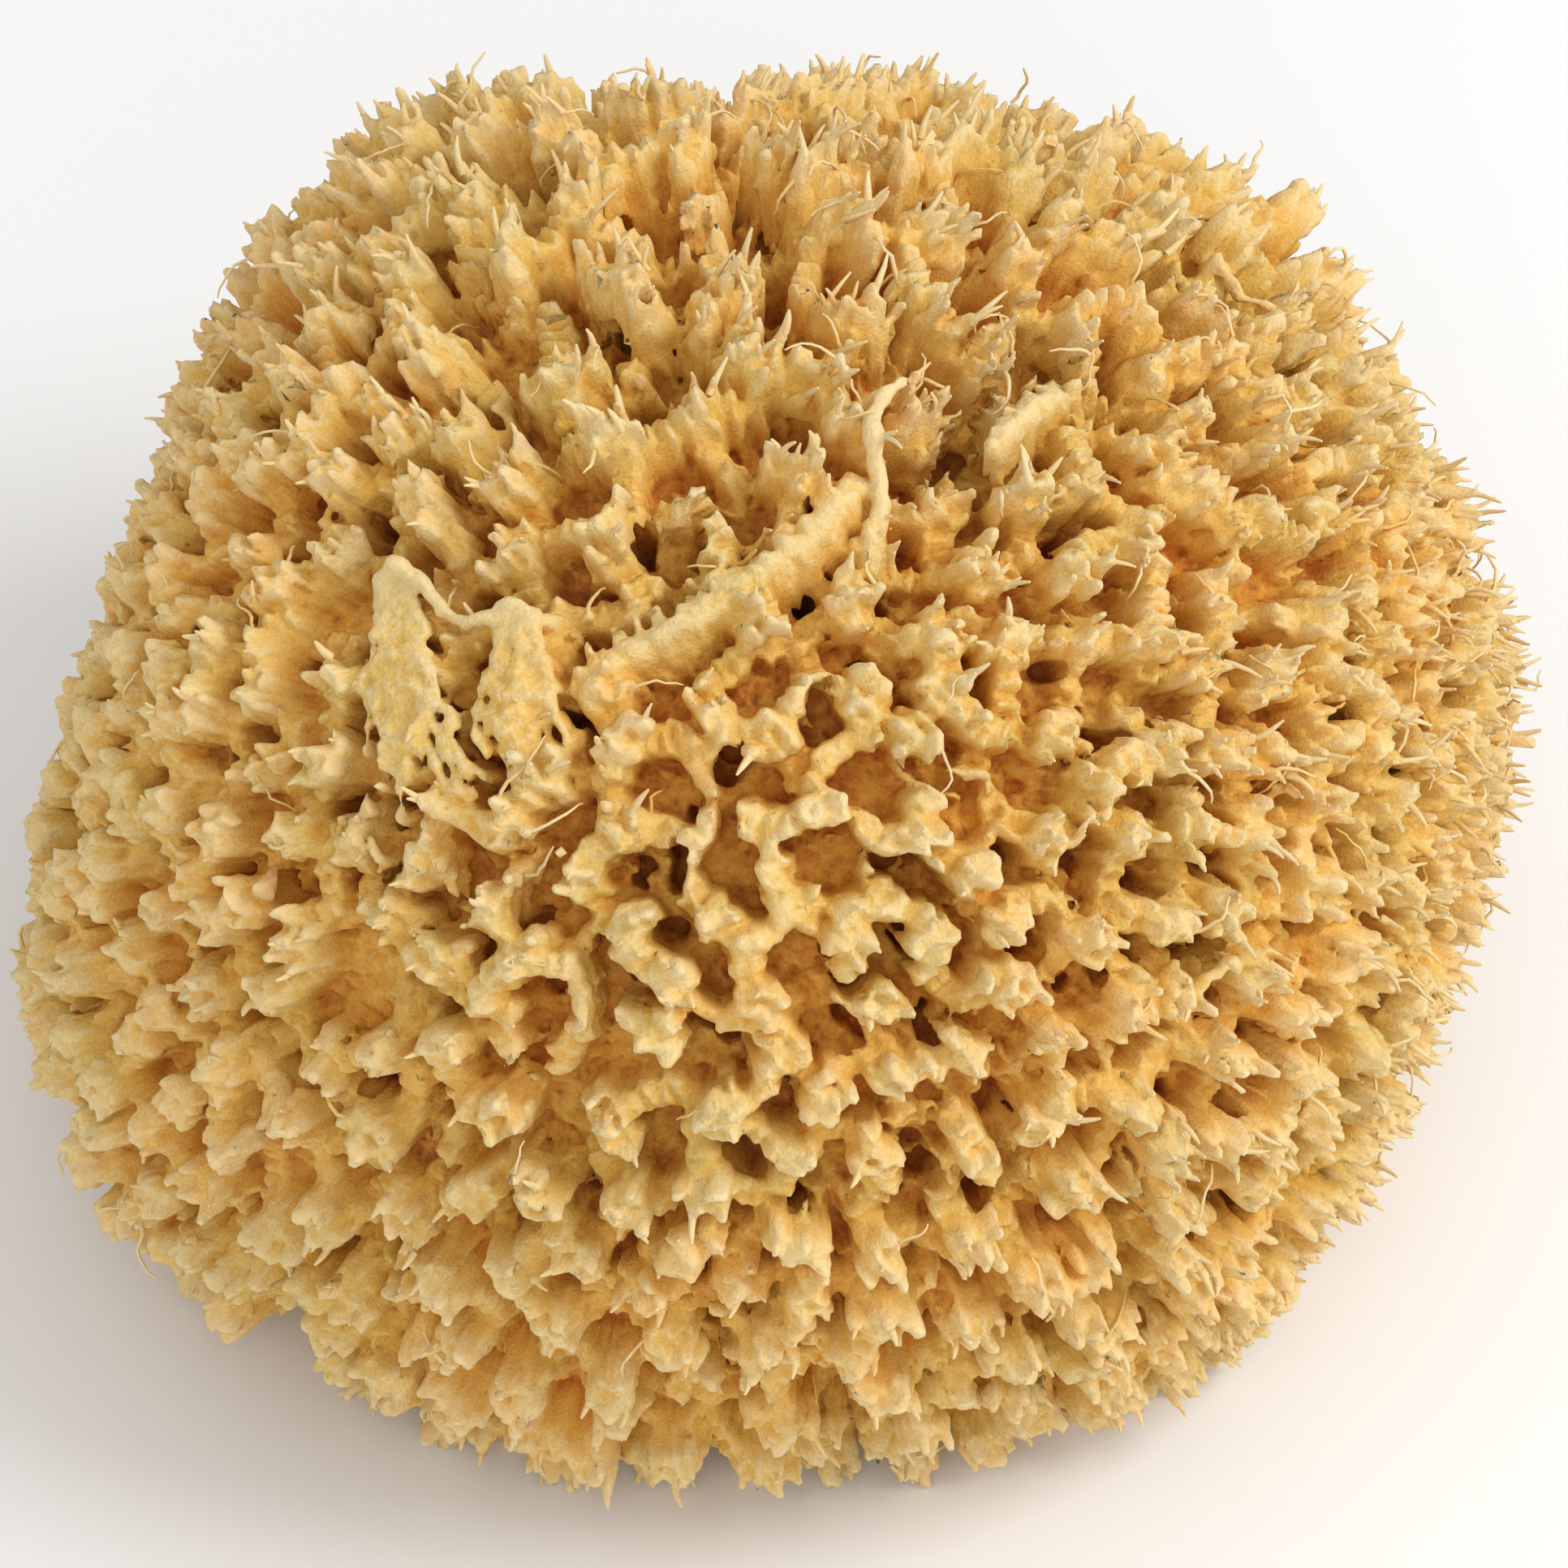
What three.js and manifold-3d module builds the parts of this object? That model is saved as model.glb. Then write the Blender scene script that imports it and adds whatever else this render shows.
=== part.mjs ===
// A wool sea sponge: a round mass of upright tufts joined by webs, with pits between them,
// cut off flat where it grew on rock. Millimetres, +Z up, front towards -Y.
// The origin is the middle of the sponge's footprint, on the surface that its flat cut rests on.

import * as THREE from "three";
import { ConvexGeometry } from "three/addons/geometries/ConvexGeometry.js";
import { mergeVertices } from "three/addons/utils/BufferGeometryUtils.js";
import Module from "manifold-3d";

// Driving dimensions

const WIDTH = 153; // left to right, across the tips
const DEPTH = 153.6; // front to back, across the tips
const CROWN_HEIGHT = 71; // from the widest level up to the crown
const SKIRT_DEPTH = 71; // from the widest level down to where the ball would close
const BASE_DROP = 40; // from the widest level down to the flat cut
const MIDDLE = new THREE.Vector2(0.27, 1.02); // the ball's middle, seen from above

const TUFT_COUNT = 1500; // on the whole ball, before the cut
const TUFT_STRAY = 0.24; // how far a tuft strays from its even place, in spacings
const SHORT_TUFT_LOSS = 2.4; // how much shorter the shortest tufts of a region are
const PIT_VARIATION = 0.3; // how much shallower some pits are, as a share of their depth
const WEB_SHARE = 0.34; // the share of neighbouring tufts that a web joins to their tips
const CUT_CLEARANCE = 0.4; // no tip or pit lies nearer to the cut, which would leave slivers
const COLOUR = 0xd9ab67;

// Directions from the ball's middle are an azimuth, in degrees from +X towards +Y, and an elevation.
// A rise is in millimetres, and a spread or width is half the angle that the shape covers.

const LOBES = [
  { name: "right back shoulder", azimuth: 41, elevation: 34, rise: 5, spread: 11 },
  { name: "left back shoulder", azimuth: 128, elevation: 38, rise: 5.6, spread: 17 },
  { name: "dip between the shoulders", azimuth: 102, elevation: 44, rise: -8, spread: 9 },
  { name: "left hollow", azimuth: 168, elevation: 12, rise: -6.4, spread: 20 },
  { name: "left dimple", azimuth: 181, elevation: 1, rise: -3.5, spread: 7 },
  { name: "left front belly", azimuth: 204, elevation: -18, rise: 5, spread: 23 },
  { name: "right hollow", azimuth: 344, elevation: -13, rise: -5.4, spread: 20 },
  { name: "left skirt dimple", azimuth: 221, elevation: -32, rise: -3.5, spread: 7 },
  { name: "front flat", azimuth: 278, elevation: -30, rise: -2.6, spread: 18 },
  { name: "back flat", azimuth: 75, elevation: -12, rise: -3.2, spread: 22 },
  { name: "crown swell", azimuth: 150, elevation: 74, rise: 2.5, spread: 22 },
];

const FURROW = {
  depth: 4.2,
  width: 5.5,
  path: [
    { azimuth: 213, elevation: 49 },
    { azimuth: 250, elevation: 56 },
    { azimuth: 285, elevation: 65 },
    { azimuth: 323, elevation: 71 },
    { azimuth: 358, elevation: 62 },
  ],
};

const MOUTHS = [
  { name: "great mouth", azimuth: 323, elevation: 70, width: 6, depth: 9 },
  { name: "crown mouth", azimuth: 311, elevation: 78, width: 4.5, depth: 7 },
  { name: "back crown mouth", azimuth: 130, elevation: 80, width: 5, depth: 7 },
  { name: "left crown mouth", azimuth: 255, elevation: 68, width: 4.5, depth: 6 },
  { name: "front pit, left", azimuth: 256, elevation: 37, width: 4.5, depth: 7 },
  { name: "front pit, middle", azimuth: 267, elevation: 39, width: 4.5, depth: 6 },
  { name: "front pit, right", azimuth: 276, elevation: 29, width: 4, depth: 6 },
  { name: "front pit, upper", azimuth: 275, elevation: 49, width: 4, depth: 5 },
  { name: "oval pit", azimuth: 245, elevation: 34, width: 4.5, depth: 4 },
  { name: "left skirt pit", azimuth: 238, elevation: -4, width: 4, depth: 5 },
  { name: "back mouth, left", azimuth: 112, elevation: 20, width: 5, depth: 7 },
  { name: "back mouth, right", azimuth: 62, elevation: 8, width: 5, depth: 7 },
];

// How far the tufts stand above the pits: long and shaggy on the crown, low and dense on the left

const SIDE_TUFT = 7.4;
const REGIONS = [
  { name: "crown", azimuth: 90, elevation: 84, extra: 2.2, spread: 40 },
  { name: "right fringe", azimuth: 350, elevation: 25, extra: 0.8, spread: 40 },
  { name: "left knobs", azimuth: 190, elevation: 18, extra: -2, spread: 38 },
];

// Directions and chance

function direction({ azimuth, elevation }) {
  const level = Math.cos(THREE.MathUtils.degToRad(elevation));
  const turn = THREE.MathUtils.degToRad(azimuth);
  const up = Math.sin(THREE.MathUtils.degToRad(elevation));
  return new THREE.Vector3(level * Math.cos(turn), level * Math.sin(turn), up);
}

// A repeatable number from 0 to 1 for a place on the ball, the same however the places are ordered
function chance(place, salt) {
  const mixed = place.x * 127.1 + place.y * 311.7 + place.z * 74.7 + salt * 19.19;
  const wave = Math.sin(mixed) * 43758.5453;
  return wave - Math.floor(wave);
}

// 1 at the middle of a feature, falling smoothly to 0 past its spread
function nearness(place, feature, spread) {
  const angle = THREE.MathUtils.radToDeg(place.angleTo(direction(feature)));
  return Math.exp(-((angle / spread) ** 2));
}

// The outer form, without tufts

function ballRadius(place) {
  const half = place.z > 0 ? CROWN_HEIGHT : SKIRT_DEPTH;
  const across = (2 * place.x) / WIDTH;
  const along = (2 * place.y) / DEPTH;
  const rise = place.z / half;
  return 1 / Math.sqrt(across ** 2 + along ** 2 + rise ** 2);
}

function furrowNearness(place) {
  const angles = FURROW.path.slice(1).map((end, index) => {
    const start = direction(FURROW.path[index]);
    const stretch = new THREE.Line3(start, direction(end));
    const closest = stretch.closestPointToPoint(place, true, new THREE.Vector3());
    return THREE.MathUtils.radToDeg(closest.angleTo(place));
  });
  return Math.exp(-((Math.min(...angles) / FURROW.width) ** 2));
}

function bodyRadius(place) {
  const lobes = LOBES.map((lobe) => lobe.rise * nearness(place, lobe, lobe.spread));
  const swell = lobes.reduce((total, rise) => total + rise, 0);
  return ballRadius(place) + swell - FURROW.depth * furrowNearness(place);
}

// The tufts and the pits between them

function tuftLength(place) {
  const extras = REGIONS.map((region) => region.extra * nearness(place, region, region.spread));
  return extras.reduce((total, extra) => total + extra, SIDE_TUFT);
}

function mouthDepth(place) {
  const depths = MOUTHS.map((mouth) => mouth.depth * nearness(place, mouth, mouth.width));
  return Math.max(...depths);
}

function tipRadius(place) {
  const mouth = Math.min(mouthDepth(place), tuftLength(place));
  return bodyRadius(place) - SHORT_TUFT_LOSS * chance(place, 1) - mouth;
}

function pitRadius(place) {
  const depth = tuftLength(place) * (1 - PIT_VARIATION * chance(place, 2));
  return bodyRadius(place) - depth - mouthDepth(place);
}

// Evenly spread places on a spiral from pole to pole, each strayed a little
function tuftPlaces() {
  const goldenTurn = Math.PI * (3 - Math.sqrt(5));
  const spacing = Math.sqrt((4 * Math.PI) / TUFT_COUNT);
  return Array.from({ length: TUFT_COUNT }, (_, index) => {
    const height = 1 - (2 * (index + 0.5)) / TUFT_COUNT;
    const level = Math.sqrt(1 - height ** 2);
    const turn = index * goldenTurn;
    const even = new THREE.Vector3(level * Math.cos(turn), level * Math.sin(turn), height);
    const stray = new THREE.Vector3(chance(even, 3), chance(even, 4), chance(even, 5));
    const offset = stray.subScalar(0.5).multiplyScalar(2 * TUFT_STRAY * spacing);
    return even.add(offset).normalize();
  });
}

// The even network whose corners are the tufts, as places and the three corners of each cell
function tuftNetwork() {
  const hull = new ConvexGeometry(tuftPlaces());
  hull.deleteAttribute("normal");
  const merged = mergeVertices(hull, 1e-6);
  const position = merged.getAttribute("position");
  const tufts = Array.from({ length: position.count }, (_, index) =>
    new THREE.Vector3().fromBufferAttribute(position, index),
  );
  const corners = Array.from(merged.getIndex().array);
  const cells = Array.from({ length: corners.length / 3 }, (_, index) =>
    corners.slice(3 * index, 3 * index + 3),
  );
  return { tufts, cells };
}

// Each pair of neighbouring tufts, with the cell on its left and the cell on its right
function neighbourPairs(cells) {
  const rightOf = new Map();
  cells.forEach((cell, index) => {
    cell.forEach((tuft, side) => rightOf.set(`${cell[(side + 1) % 3]} ${tuft}`, index));
  });
  return cells.flatMap((cell, left) =>
    cell
      .map((tuft, side) => ({ start: tuft, end: cell[(side + 1) % 3], left }))
      .filter(({ start, end }) => start < end)
      .map((pair) => ({ ...pair, right: rightOf.get(`${pair.start} ${pair.end}`) })),
  );
}

// Every cell has a pit in its middle. Two tufts are joined by a web, or parted where two pits meet.
function tuftedBall() {
  const { tufts, cells } = tuftNetwork();
  const pits = cells.map((cell) => {
    const middle = new THREE.Vector3();
    cell.forEach((tuft) => middle.add(tufts[tuft]));
    return middle.normalize();
  });
  const points = [
    ...tufts.map((place) => place.clone().multiplyScalar(tipRadius(place))),
    ...pits.map((place) => place.clone().multiplyScalar(pitRadius(place))),
  ];
  const triangles = neighbourPairs(cells).flatMap(({ start, end, left, right }) => {
    const leftPit = tufts.length + left;
    const rightPit = tufts.length + right;
    const between = tufts[start].clone().add(tufts[end]);
    if (chance(between, 6) < WEB_SHARE) {
      return [start, end, leftPit, end, start, rightPit];
    }
    return [start, rightPit, leftPit, end, leftPit, rightPit];
  });
  return { points, triangles };
}

// The flat cut

const wasm = await Module();
wasm.setup();

function solidOf(points, triangles) {
  return new wasm.Manifold(
    new wasm.Mesh({
      numProp: 3,
      vertProperties: new Float32Array(points.flatMap((point) => point.toArray())),
      triVerts: new Uint32Array(triangles),
    }),
  );
}

function blockBelowTheCut() {
  const margin = 20;
  const height = SKIRT_DEPTH;
  const block = new THREE.BoxGeometry(WIDTH + 2 * margin, DEPTH + 2 * margin, height);
  block.translate(MIDDLE.x, MIDDLE.y, -height / 2);
  block.deleteAttribute("normal");
  block.deleteAttribute("uv");
  const merged = mergeVertices(block);
  const position = merged.getAttribute("position");
  const points = Array.from({ length: position.count }, (_, index) =>
    new THREE.Vector3().fromBufferAttribute(position, index),
  );
  return solidOf(points, merged.getIndex().array);
}

function clearOfTheCut(point) {
  const side = point.z < 0 ? -1 : 1;
  point.z = side * Math.max(Math.abs(point.z), CUT_CLEARANCE);
}

function spongeGeometry() {
  const { points, triangles } = tuftedBall();
  const middle = new THREE.Vector3(MIDDLE.x, MIDDLE.y, BASE_DROP);
  points.forEach((point) => clearOfTheCut(point.add(middle)));
  const cut = solidOf(points, triangles).subtract(blockBelowTheCut()).getMesh();
  const geometry = new THREE.BufferGeometry();
  geometry.setAttribute("position", new THREE.BufferAttribute(cut.vertProperties, 3));
  geometry.setIndex(new THREE.BufferAttribute(cut.triVerts, 1));
  geometry.computeVertexNormals();
  return geometry;
}

const material = new THREE.MeshStandardMaterial({ color: COLOUR, roughness: 0.9, metalness: 0 });
const sponge = new THREE.Mesh(spongeGeometry(), material);
sponge.name = "sponge";

const part = new THREE.Group();
part.add(sponge);

export default part;
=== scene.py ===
# A wool sea sponge: a round mass of tufts and webs round deep pits, cut off flat underneath.
# The shaping works in millimetres from the ball's middle, and the finished meshes are in metres.

import math

import bmesh
import bpy
import numpy as np
import openvdb
from mathutils.kdtree import KDTree
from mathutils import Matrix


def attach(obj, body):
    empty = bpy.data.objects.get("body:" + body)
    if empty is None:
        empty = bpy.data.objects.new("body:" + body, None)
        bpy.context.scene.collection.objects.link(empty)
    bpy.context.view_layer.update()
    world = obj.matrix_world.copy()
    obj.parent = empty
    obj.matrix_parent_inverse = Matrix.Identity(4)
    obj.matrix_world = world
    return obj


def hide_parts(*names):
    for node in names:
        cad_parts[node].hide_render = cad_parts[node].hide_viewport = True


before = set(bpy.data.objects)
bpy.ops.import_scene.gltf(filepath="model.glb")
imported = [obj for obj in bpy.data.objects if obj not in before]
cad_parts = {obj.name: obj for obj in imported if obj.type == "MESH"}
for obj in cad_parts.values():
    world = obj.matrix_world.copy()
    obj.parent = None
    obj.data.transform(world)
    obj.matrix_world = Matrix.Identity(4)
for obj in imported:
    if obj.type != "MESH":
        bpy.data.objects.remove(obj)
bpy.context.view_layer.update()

# The outer form, as the solid has it

METRES = 0.001
MIDDLE = np.array([0.27, 1.02, 40.0])  # the ball's middle, from the origin under the flat cut
HALF_SIZES = np.array([153.0, 153.6, 142.0]) / 2

# azimuth from +X towards +Y, elevation, rise in millimetres and spread, in degrees
LOBES = (
    ("right back shoulder", 41, 34, 5.0, 11),
    ("left back shoulder", 128, 38, 5.6, 17),
    ("dip between the shoulders", 102, 44, -8.0, 9),
    ("left hollow", 168, 12, -6.4, 20),
    ("left dimple", 181, 1, -3.5, 7),
    ("left front belly", 204, -18, 5.0, 23),
    ("right hollow", 344, -13, -5.4, 20),
    ("left skirt dimple", 221, -32, -3.5, 7),
    ("front flat", 278, -30, -2.6, 18),
    ("back flat", 75, -12, -3.2, 22),
    ("crown swell", 150, 74, 2.5, 22),
)
FURROW_DEPTH, FURROW_WIDTH = 4.2, 5.5
FURROW = ((213, 49), (250, 56), (285, 65), (323, 71), (358, 62))

# deep pits: azimuth and elevation of their two ends, then half width and depth in millimetres
PITS = (
    ("great mouth", (322, 70), (333, 70), 2.3, 14),
    ("crown mouth", (309, 76), (314, 76), 1.3, 11),
    ("dark hole by the strand", (300, 67), (302, 68), 1.3, 11),
    ("crown pit, left", (254, 67), (257, 68), 1.6, 12),
    ("crown pit, upper left", (159, 84), (152, 85), 1.7, 13),
    ("crown pit, far left", (213, 67), (216, 68), 1.3, 11),
    ("back crown pit", (128, 80), (134, 79), 2.4, 12),
    ("left oval", (240, 33), (241, 31), 2.0, 10),
    ("great oval", (249, 39), (247, 33), 2.3, 10),
    ("low oval", (254, 31), (256, 25), 1.8, 10),
    ("black hole, left", (256, 36), (256, 37), 1.3, 14),
    ("black hole, right", (260, 39), (260, 36), 1.5, 14),
    ("upright slot", (264, 46), (266, 36), 1.3, 10),
    ("middle slot", (271, 40), (277, 41), 1.3, 10),
    ("double hole", (280, 38), (283, 38), 1.5, 11),
    ("low black hole", (276, 29), (277, 29), 1.4, 14),
    ("lowest black hole", (263, 26), (266, 24), 1.5, 14),
    ("lower left hole", (249, 20), (250, 21), 1.8, 10),
    ("lower right hole", (281, 20), (283, 18), 1.7, 10),
    ("upper hole", (274, 49), (276, 52), 1.7, 10),
    ("right oval", (285, 45), (292, 42), 1.7, 10),
    ("right low hole", (286, 25), (289, 23), 1.5, 10),
    ("slot by the drape", (226, 40), (231, 34), 1.0, 11),
    ("hole by the draped edge", (213, 45), (217, 43), 1.3, 11),
    ("left skirt pit", (237, -3), (239, -5), 1.7, 11),
    ("bottom pit", (266, -8), (267, -11), 1.7, 10),
    ("back pit, left", (112, 20), (115, 17), 2.8, 12),
    ("back pit, right", (62, 8), (60, 12), 2.8, 12),
)

# what lies over the tufts of the upper front. Places are azimuths and elevations in degrees.
# each crest: its places, then the depth, half thickness and root's half thickness, in millimetres
CRESTS = (
    ("smooth ridge", ((246, 52.6), (255, 56.8), (264, 61), (275, 64.8), (289, 69.8)), 1.5, 0.6, 1.9),
    ("pale crest", ((319, 67), (333, 66.6), (345, 64.9)), 1.4, 0.4, 1.1),
)
# each strand: its places, then its depth and radius at each of them
STRANDS = (
    (
        "bent strand",
        ((314, 75), (301, 74.2), (295, 72.3), (293, 69.4), (292, 66.6), (288, 64.2), (286, 62.7)),
        (0.8, 0.7, 0.9, 1.2, 1.8, 3.0, 4.4),
        (0.5, 0.62, 0.78, 0.7, 0.82, 0.9, 1.0),
    ),
    (
        "draped edge",
        (
            (215, 47.1), (214, 49.2), (215, 51), (219, 51.3),
            (224, 50.5), (228, 50.8), (232, 53.7), (236, 53.9),
        ),
        (3.2, 1.4, 0.9, 1.2, 2.0, 2.2, 1.2, 1.6),
        (0.5, 0.7, 0.95, 0.75, 0.55, 0.55, 0.8, 0.6),
    ),
)
# each fluted skin: the ends of its upper edge, the ends of its lower edge and its number of flutes
DRAPES = (
    ("left drape", (214, 48.9), (217, 50.6), (230, 34.3), (241, 38.4), 8),
    ("right drape", (231, 53), (235, 53.9), (237, 42.4), (248, 43.9), 7),
)
# a flute from its upper to its lower end: how deep it lies, how far its own sinking counts, its radii
FLUTE_DEPTHS = (1.4, 2.6, 3.2, 3.6, 3.7, 3.5)
FLUTE_SINKS = (0.3, 0.8, 1, 1, 0.8, 0.5)
FLUTE_RADII = (0.34, 0.44, 0.5, 0.5, 0.46, 0.36)
CREST_LEAN = 0.35  # how far the crests lean back, as a slope
CLEARED_WIDTH, CLEARED_DEPTH = 2.4, 1.3  # how wide, in degrees, and deep the tufts stand back
CALM_WIDTH, CALM = 3.0, 0.5  # how wide, in degrees, and far the marks are smoother than the rest
MARKS_MIDDLE, MARKS_REACH = (260, 58), 42  # where all the marks lie, with the angle around it
SLOT = ((268, 54.1), (270, 55.9), (273, 58.1), (276, 59.6), (279, 60.9))  # the gap under the ridge
SLOT_DEPTH, SLOT_RADIUS = 6.0, 1.3

# the growth, with lengths in millimetres
TIP_DEPTH, TIP_SPREAD = 0.5, 2.6  # how far the tallest tufts end under the outer form, and the rest
TUFT_MARGIN = 0.3  # how near to a deep pit's edge no tuft stands
STRAIGHT_WALLS, SAGGING_WALLS = 0.36, 0.44  # shares of the walls. The rest are open to their roots
WALL_ROOT = 2.5  # how far a wall's root reaches under the height of its tufts
LONGEST_WALL, LONGEST_BRIDGE = 15, 8.0
UNDER_CUT = 12  # how far under the cut the growth still starts
CORE_DEPTH = 1.4  # how far the body's own top lies under the floors of the pits
BRIDGED_PITS = 0.26  # the share of pits with a strand across them
CANAL_SHARE = 0.6  # the share of pits whose floor opens into a canal
SECOND_POINT = 0.45  # how much rarer a finger has a second frayed point
LOOSE_THREADS = 420
POINT_WAVE, THREAD_WAVE = 0.5, 0.9  # how far frayed points and loose threads wave at their ends
CRUMB_SIZE = 500  # vertices. Smaller bits that hang on nothing are taken out
CRUMB_REACH = 1.5  # how near to such a bit no thread starts

SEED = 7
STEP = 0.4  # millimetres between the points at which the form is worked out
SOFTNESS = 0.27  # how far forms that meet melt into each other
MOST_FACES = 148_000  # of one block of the sponge
ROOM_AROUND, ROOM_UNDER = 9, 2  # how far the block of space reaches past the ball and the cut
SEAMS = (-24, 24)  # where the blocks of the sponge meet, from side to side


def direction(azimuth, elevation):
    turn, lift = math.radians(azimuth), math.radians(elevation)
    level = math.cos(lift)
    return np.array([level * math.cos(turn), level * math.sin(turn), math.sin(lift)])


def directions(path):
    return np.array([direction(*step) for step in path])


def unit(vectors):
    return vectors / np.maximum(np.linalg.norm(vectors, axis=-1, keepdims=True), 1e-9)


def angle_to(places, target):
    return np.degrees(np.arccos(np.clip(places @ target, -1, 1)))


def nearness(places, azimuth, elevation, spread):
    """1 at the middle of a feature, falling smoothly to 0 past its spread."""
    return np.exp(-((angle_to(places, direction(azimuth, elevation)) / spread) ** 2))


def path_gap(places, path):
    """The angle from places to a line over the ball."""
    nearest = np.full(places.shape[:-1], 180.0)
    for start, end in zip(path, path[1:]):
        a, b = direction(*start), direction(*end)
        along = np.clip((places - a) @ (b - a) / ((b - a) @ (b - a)), 0, 1)
        closest = unit(a + along[..., None] * (b - a))
        gap = np.degrees(np.arccos(np.clip((places * closest).sum(-1), -1, 1)))
        nearest = np.minimum(nearest, gap)
    return nearest


def path_nearness(places, path, width):
    """1 on a line of places over the ball, falling smoothly to 0 beside it."""
    return np.exp(-((path_gap(places, path) / width) ** 2))


def body_radius(places):
    radius = 1 / np.sqrt(((places / HALF_SIZES) ** 2).sum(-1))
    for _, azimuth, elevation, rise, spread in LOBES:
        radius = radius + rise * nearness(places, azimuth, elevation, spread)
    return radius - FURROW_DEPTH * path_nearness(places, FURROW, FURROW_WIDTH)


# How the growth differs over the sponge. Each style holds the plain value, then what regions add.

# each region: the azimuth and elevation of its middle, and its spread, in degrees
REGIONS = {
    "crown": (92, 84, 34),
    "right": (352, 20, 36),
    "left": (190, 14, 26),
    "centre": (268, 36, 17),
    "lower": (268, -12, 30),
    "trimmed": (208, -26, 15),
}
# Lengths are in millimetres. spacing lies between the pits and tuft_gap between the tufts. A tuft
# has its height, divides at its fork and has a leaning fan, fan_width wide, of so many fingers.
# fray is the length of their frayed points and frayed the chance of one. wall_edge is half the
# thickness of a wall's top, which lies under the tips by its end_drop at a tuft and its low_drop at
# a junction without one, and sags between them, all as shares of the height. teeth is their height.
STYLES = {
    "spacing": (9.4, {"crown": 4.6, "left": -2.9, "right": -1.2, "centre": 0.6}),
    "tuft_gap": (5.9, {"crown": 1.2, "left": -1.9, "right": -0.7, "centre": -0.9, "lower": 0.7}),
    "height": (9.0, {"crown": 4.2, "left": -3.0, "right": 1.0, "lower": 0.8, "trimmed": -2.4}),
    "fork": (4.4, {"crown": 3.4, "left": -2.1, "right": 2.0, "centre": -0.9, "trimmed": -2.0}),
    "fan_width": (4.6, {"crown": 3.2, "left": -2.0, "right": 0.8, "centre": -0.9, "lower": 0.6}),
    "fingers": (3.6, {"crown": 1.8, "left": -0.8, "right": 0.9, "centre": -1.2, "lower": 0.6}),
    "finger_radius": (0.8, {"crown": 0.16, "right": -0.16, "centre": 0.1, "lower": 0.04}),
    "tip_radius": (0.42, {"left": 0.12, "trimmed": 0.14, "centre": 0.08, "right": -0.06}),
    "lean": (1.0, {"crown": 3.8, "right": 1.4, "left": -0.4}),
    "fray": (1.0, {"crown": 1.1, "right": 0.9, "left": -0.6, "centre": 0.4, "trimmed": -0.6}),
    "frayed": (0.3, {"crown": 0.42, "right": 0.2, "left": -0.25, "centre": -0.05, "trimmed": -0.3}),
    "wall_edge": (0.55, {"crown": -0.08, "right": -0.17, "centre": 0.5, "left": 0.1}),
    "end_drop": (0.2, {"centre": 0.02, "crown": 0.04}),
    "low_drop": (0.74, {"centre": -0.5, "crown": -0.2, "left": -0.22, "right": -0.32, "lower": 0.05}),
    "sag": (0.2, {"centre": -0.04, "crown": 0.06, "left": -0.04}),
    "teeth": (1.2, {"centre": -0.7, "left": -0.5, "crown": 1.3, "right": 0.9}),
}


def style(name, places):
    value, extras = STYLES[name]
    total = np.full(places.shape[:-1], float(value))
    for region, extra in extras.items():
        total = total + extra * nearness(places, *REGIONS[region])
    return total


# The places of the pits, and the network of walls between them


def pit_places(random):
    """Places spread over the ball, as far apart as the growth's spacing asks."""
    count = 12_000
    golden_turn = math.pi * (3 - math.sqrt(5))
    height = 1 - (2 * np.arange(count) + 1) / count
    level = np.sqrt(1 - height**2)
    turn = np.arange(count) * golden_turn
    candidates = np.stack([level * np.cos(turn), level * np.sin(turn), height], 1)
    candidates = candidates[random.permutation(count)]
    growth = np.exp(random.normal(0, 0.2, count)).clip(0.68, 1.45)
    gaps = style("spacing", candidates) * growth / HALF_SIZES[0]
    kept = []
    found = np.zeros((0, 3))
    for index in range(count):
        near = ((found - candidates[index]) ** 2).sum(1)
        if (near > (0.78 * gaps[index]) ** 2).all():
            kept.append(index)
            found = candidates[kept]
    gap = gaps[kept][:, None]
    rounds, push = 12, 0.2
    for _ in range(rounds):
        apart = found[:, None] - found[None]
        distance = np.sqrt((apart**2).sum(-1)) + np.eye(len(found)) * 9
        pressure = np.clip(1.05 - distance / ((gap + gap.T) / 2), 0, None)
        shift = (apart / distance[..., None] * pressure[..., None]).sum(1)
        found = unit(found + push * gap * shift)
    return unit(found + random.normal(0, 0.09, found.shape) * gap)


def network(pits):
    """The tufts, where three pits meet, and the walls, each with two tufts and two pits."""
    shape = bmesh.new()
    points = [shape.verts.new(pit) for pit in pits]
    bmesh.ops.convex_hull(shape, input=points)
    shape.verts.index_update()
    shape.faces.index_update()
    corners = np.array([[vertex.index for vertex in face.verts] for face in shape.faces])
    a, b, c = pits[corners[:, 0]], pits[corners[:, 1]], pits[corners[:, 2]]
    across = unit(np.cross(b - a, c - a))
    centre = unit(a + b + c)
    across *= np.sign((across * centre).sum(1, keepdims=True))
    tufts = unit(0.6 * across + 0.4 * centre)
    walls = [
        [face.index for face in edge.link_faces] + [vertex.index for vertex in edge.verts]
        for edge in shape.edges
        if len(edge.link_faces) == 2
    ]
    shape.free()
    return tufts, np.array(walls)


# Space in which forms melt together


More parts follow.
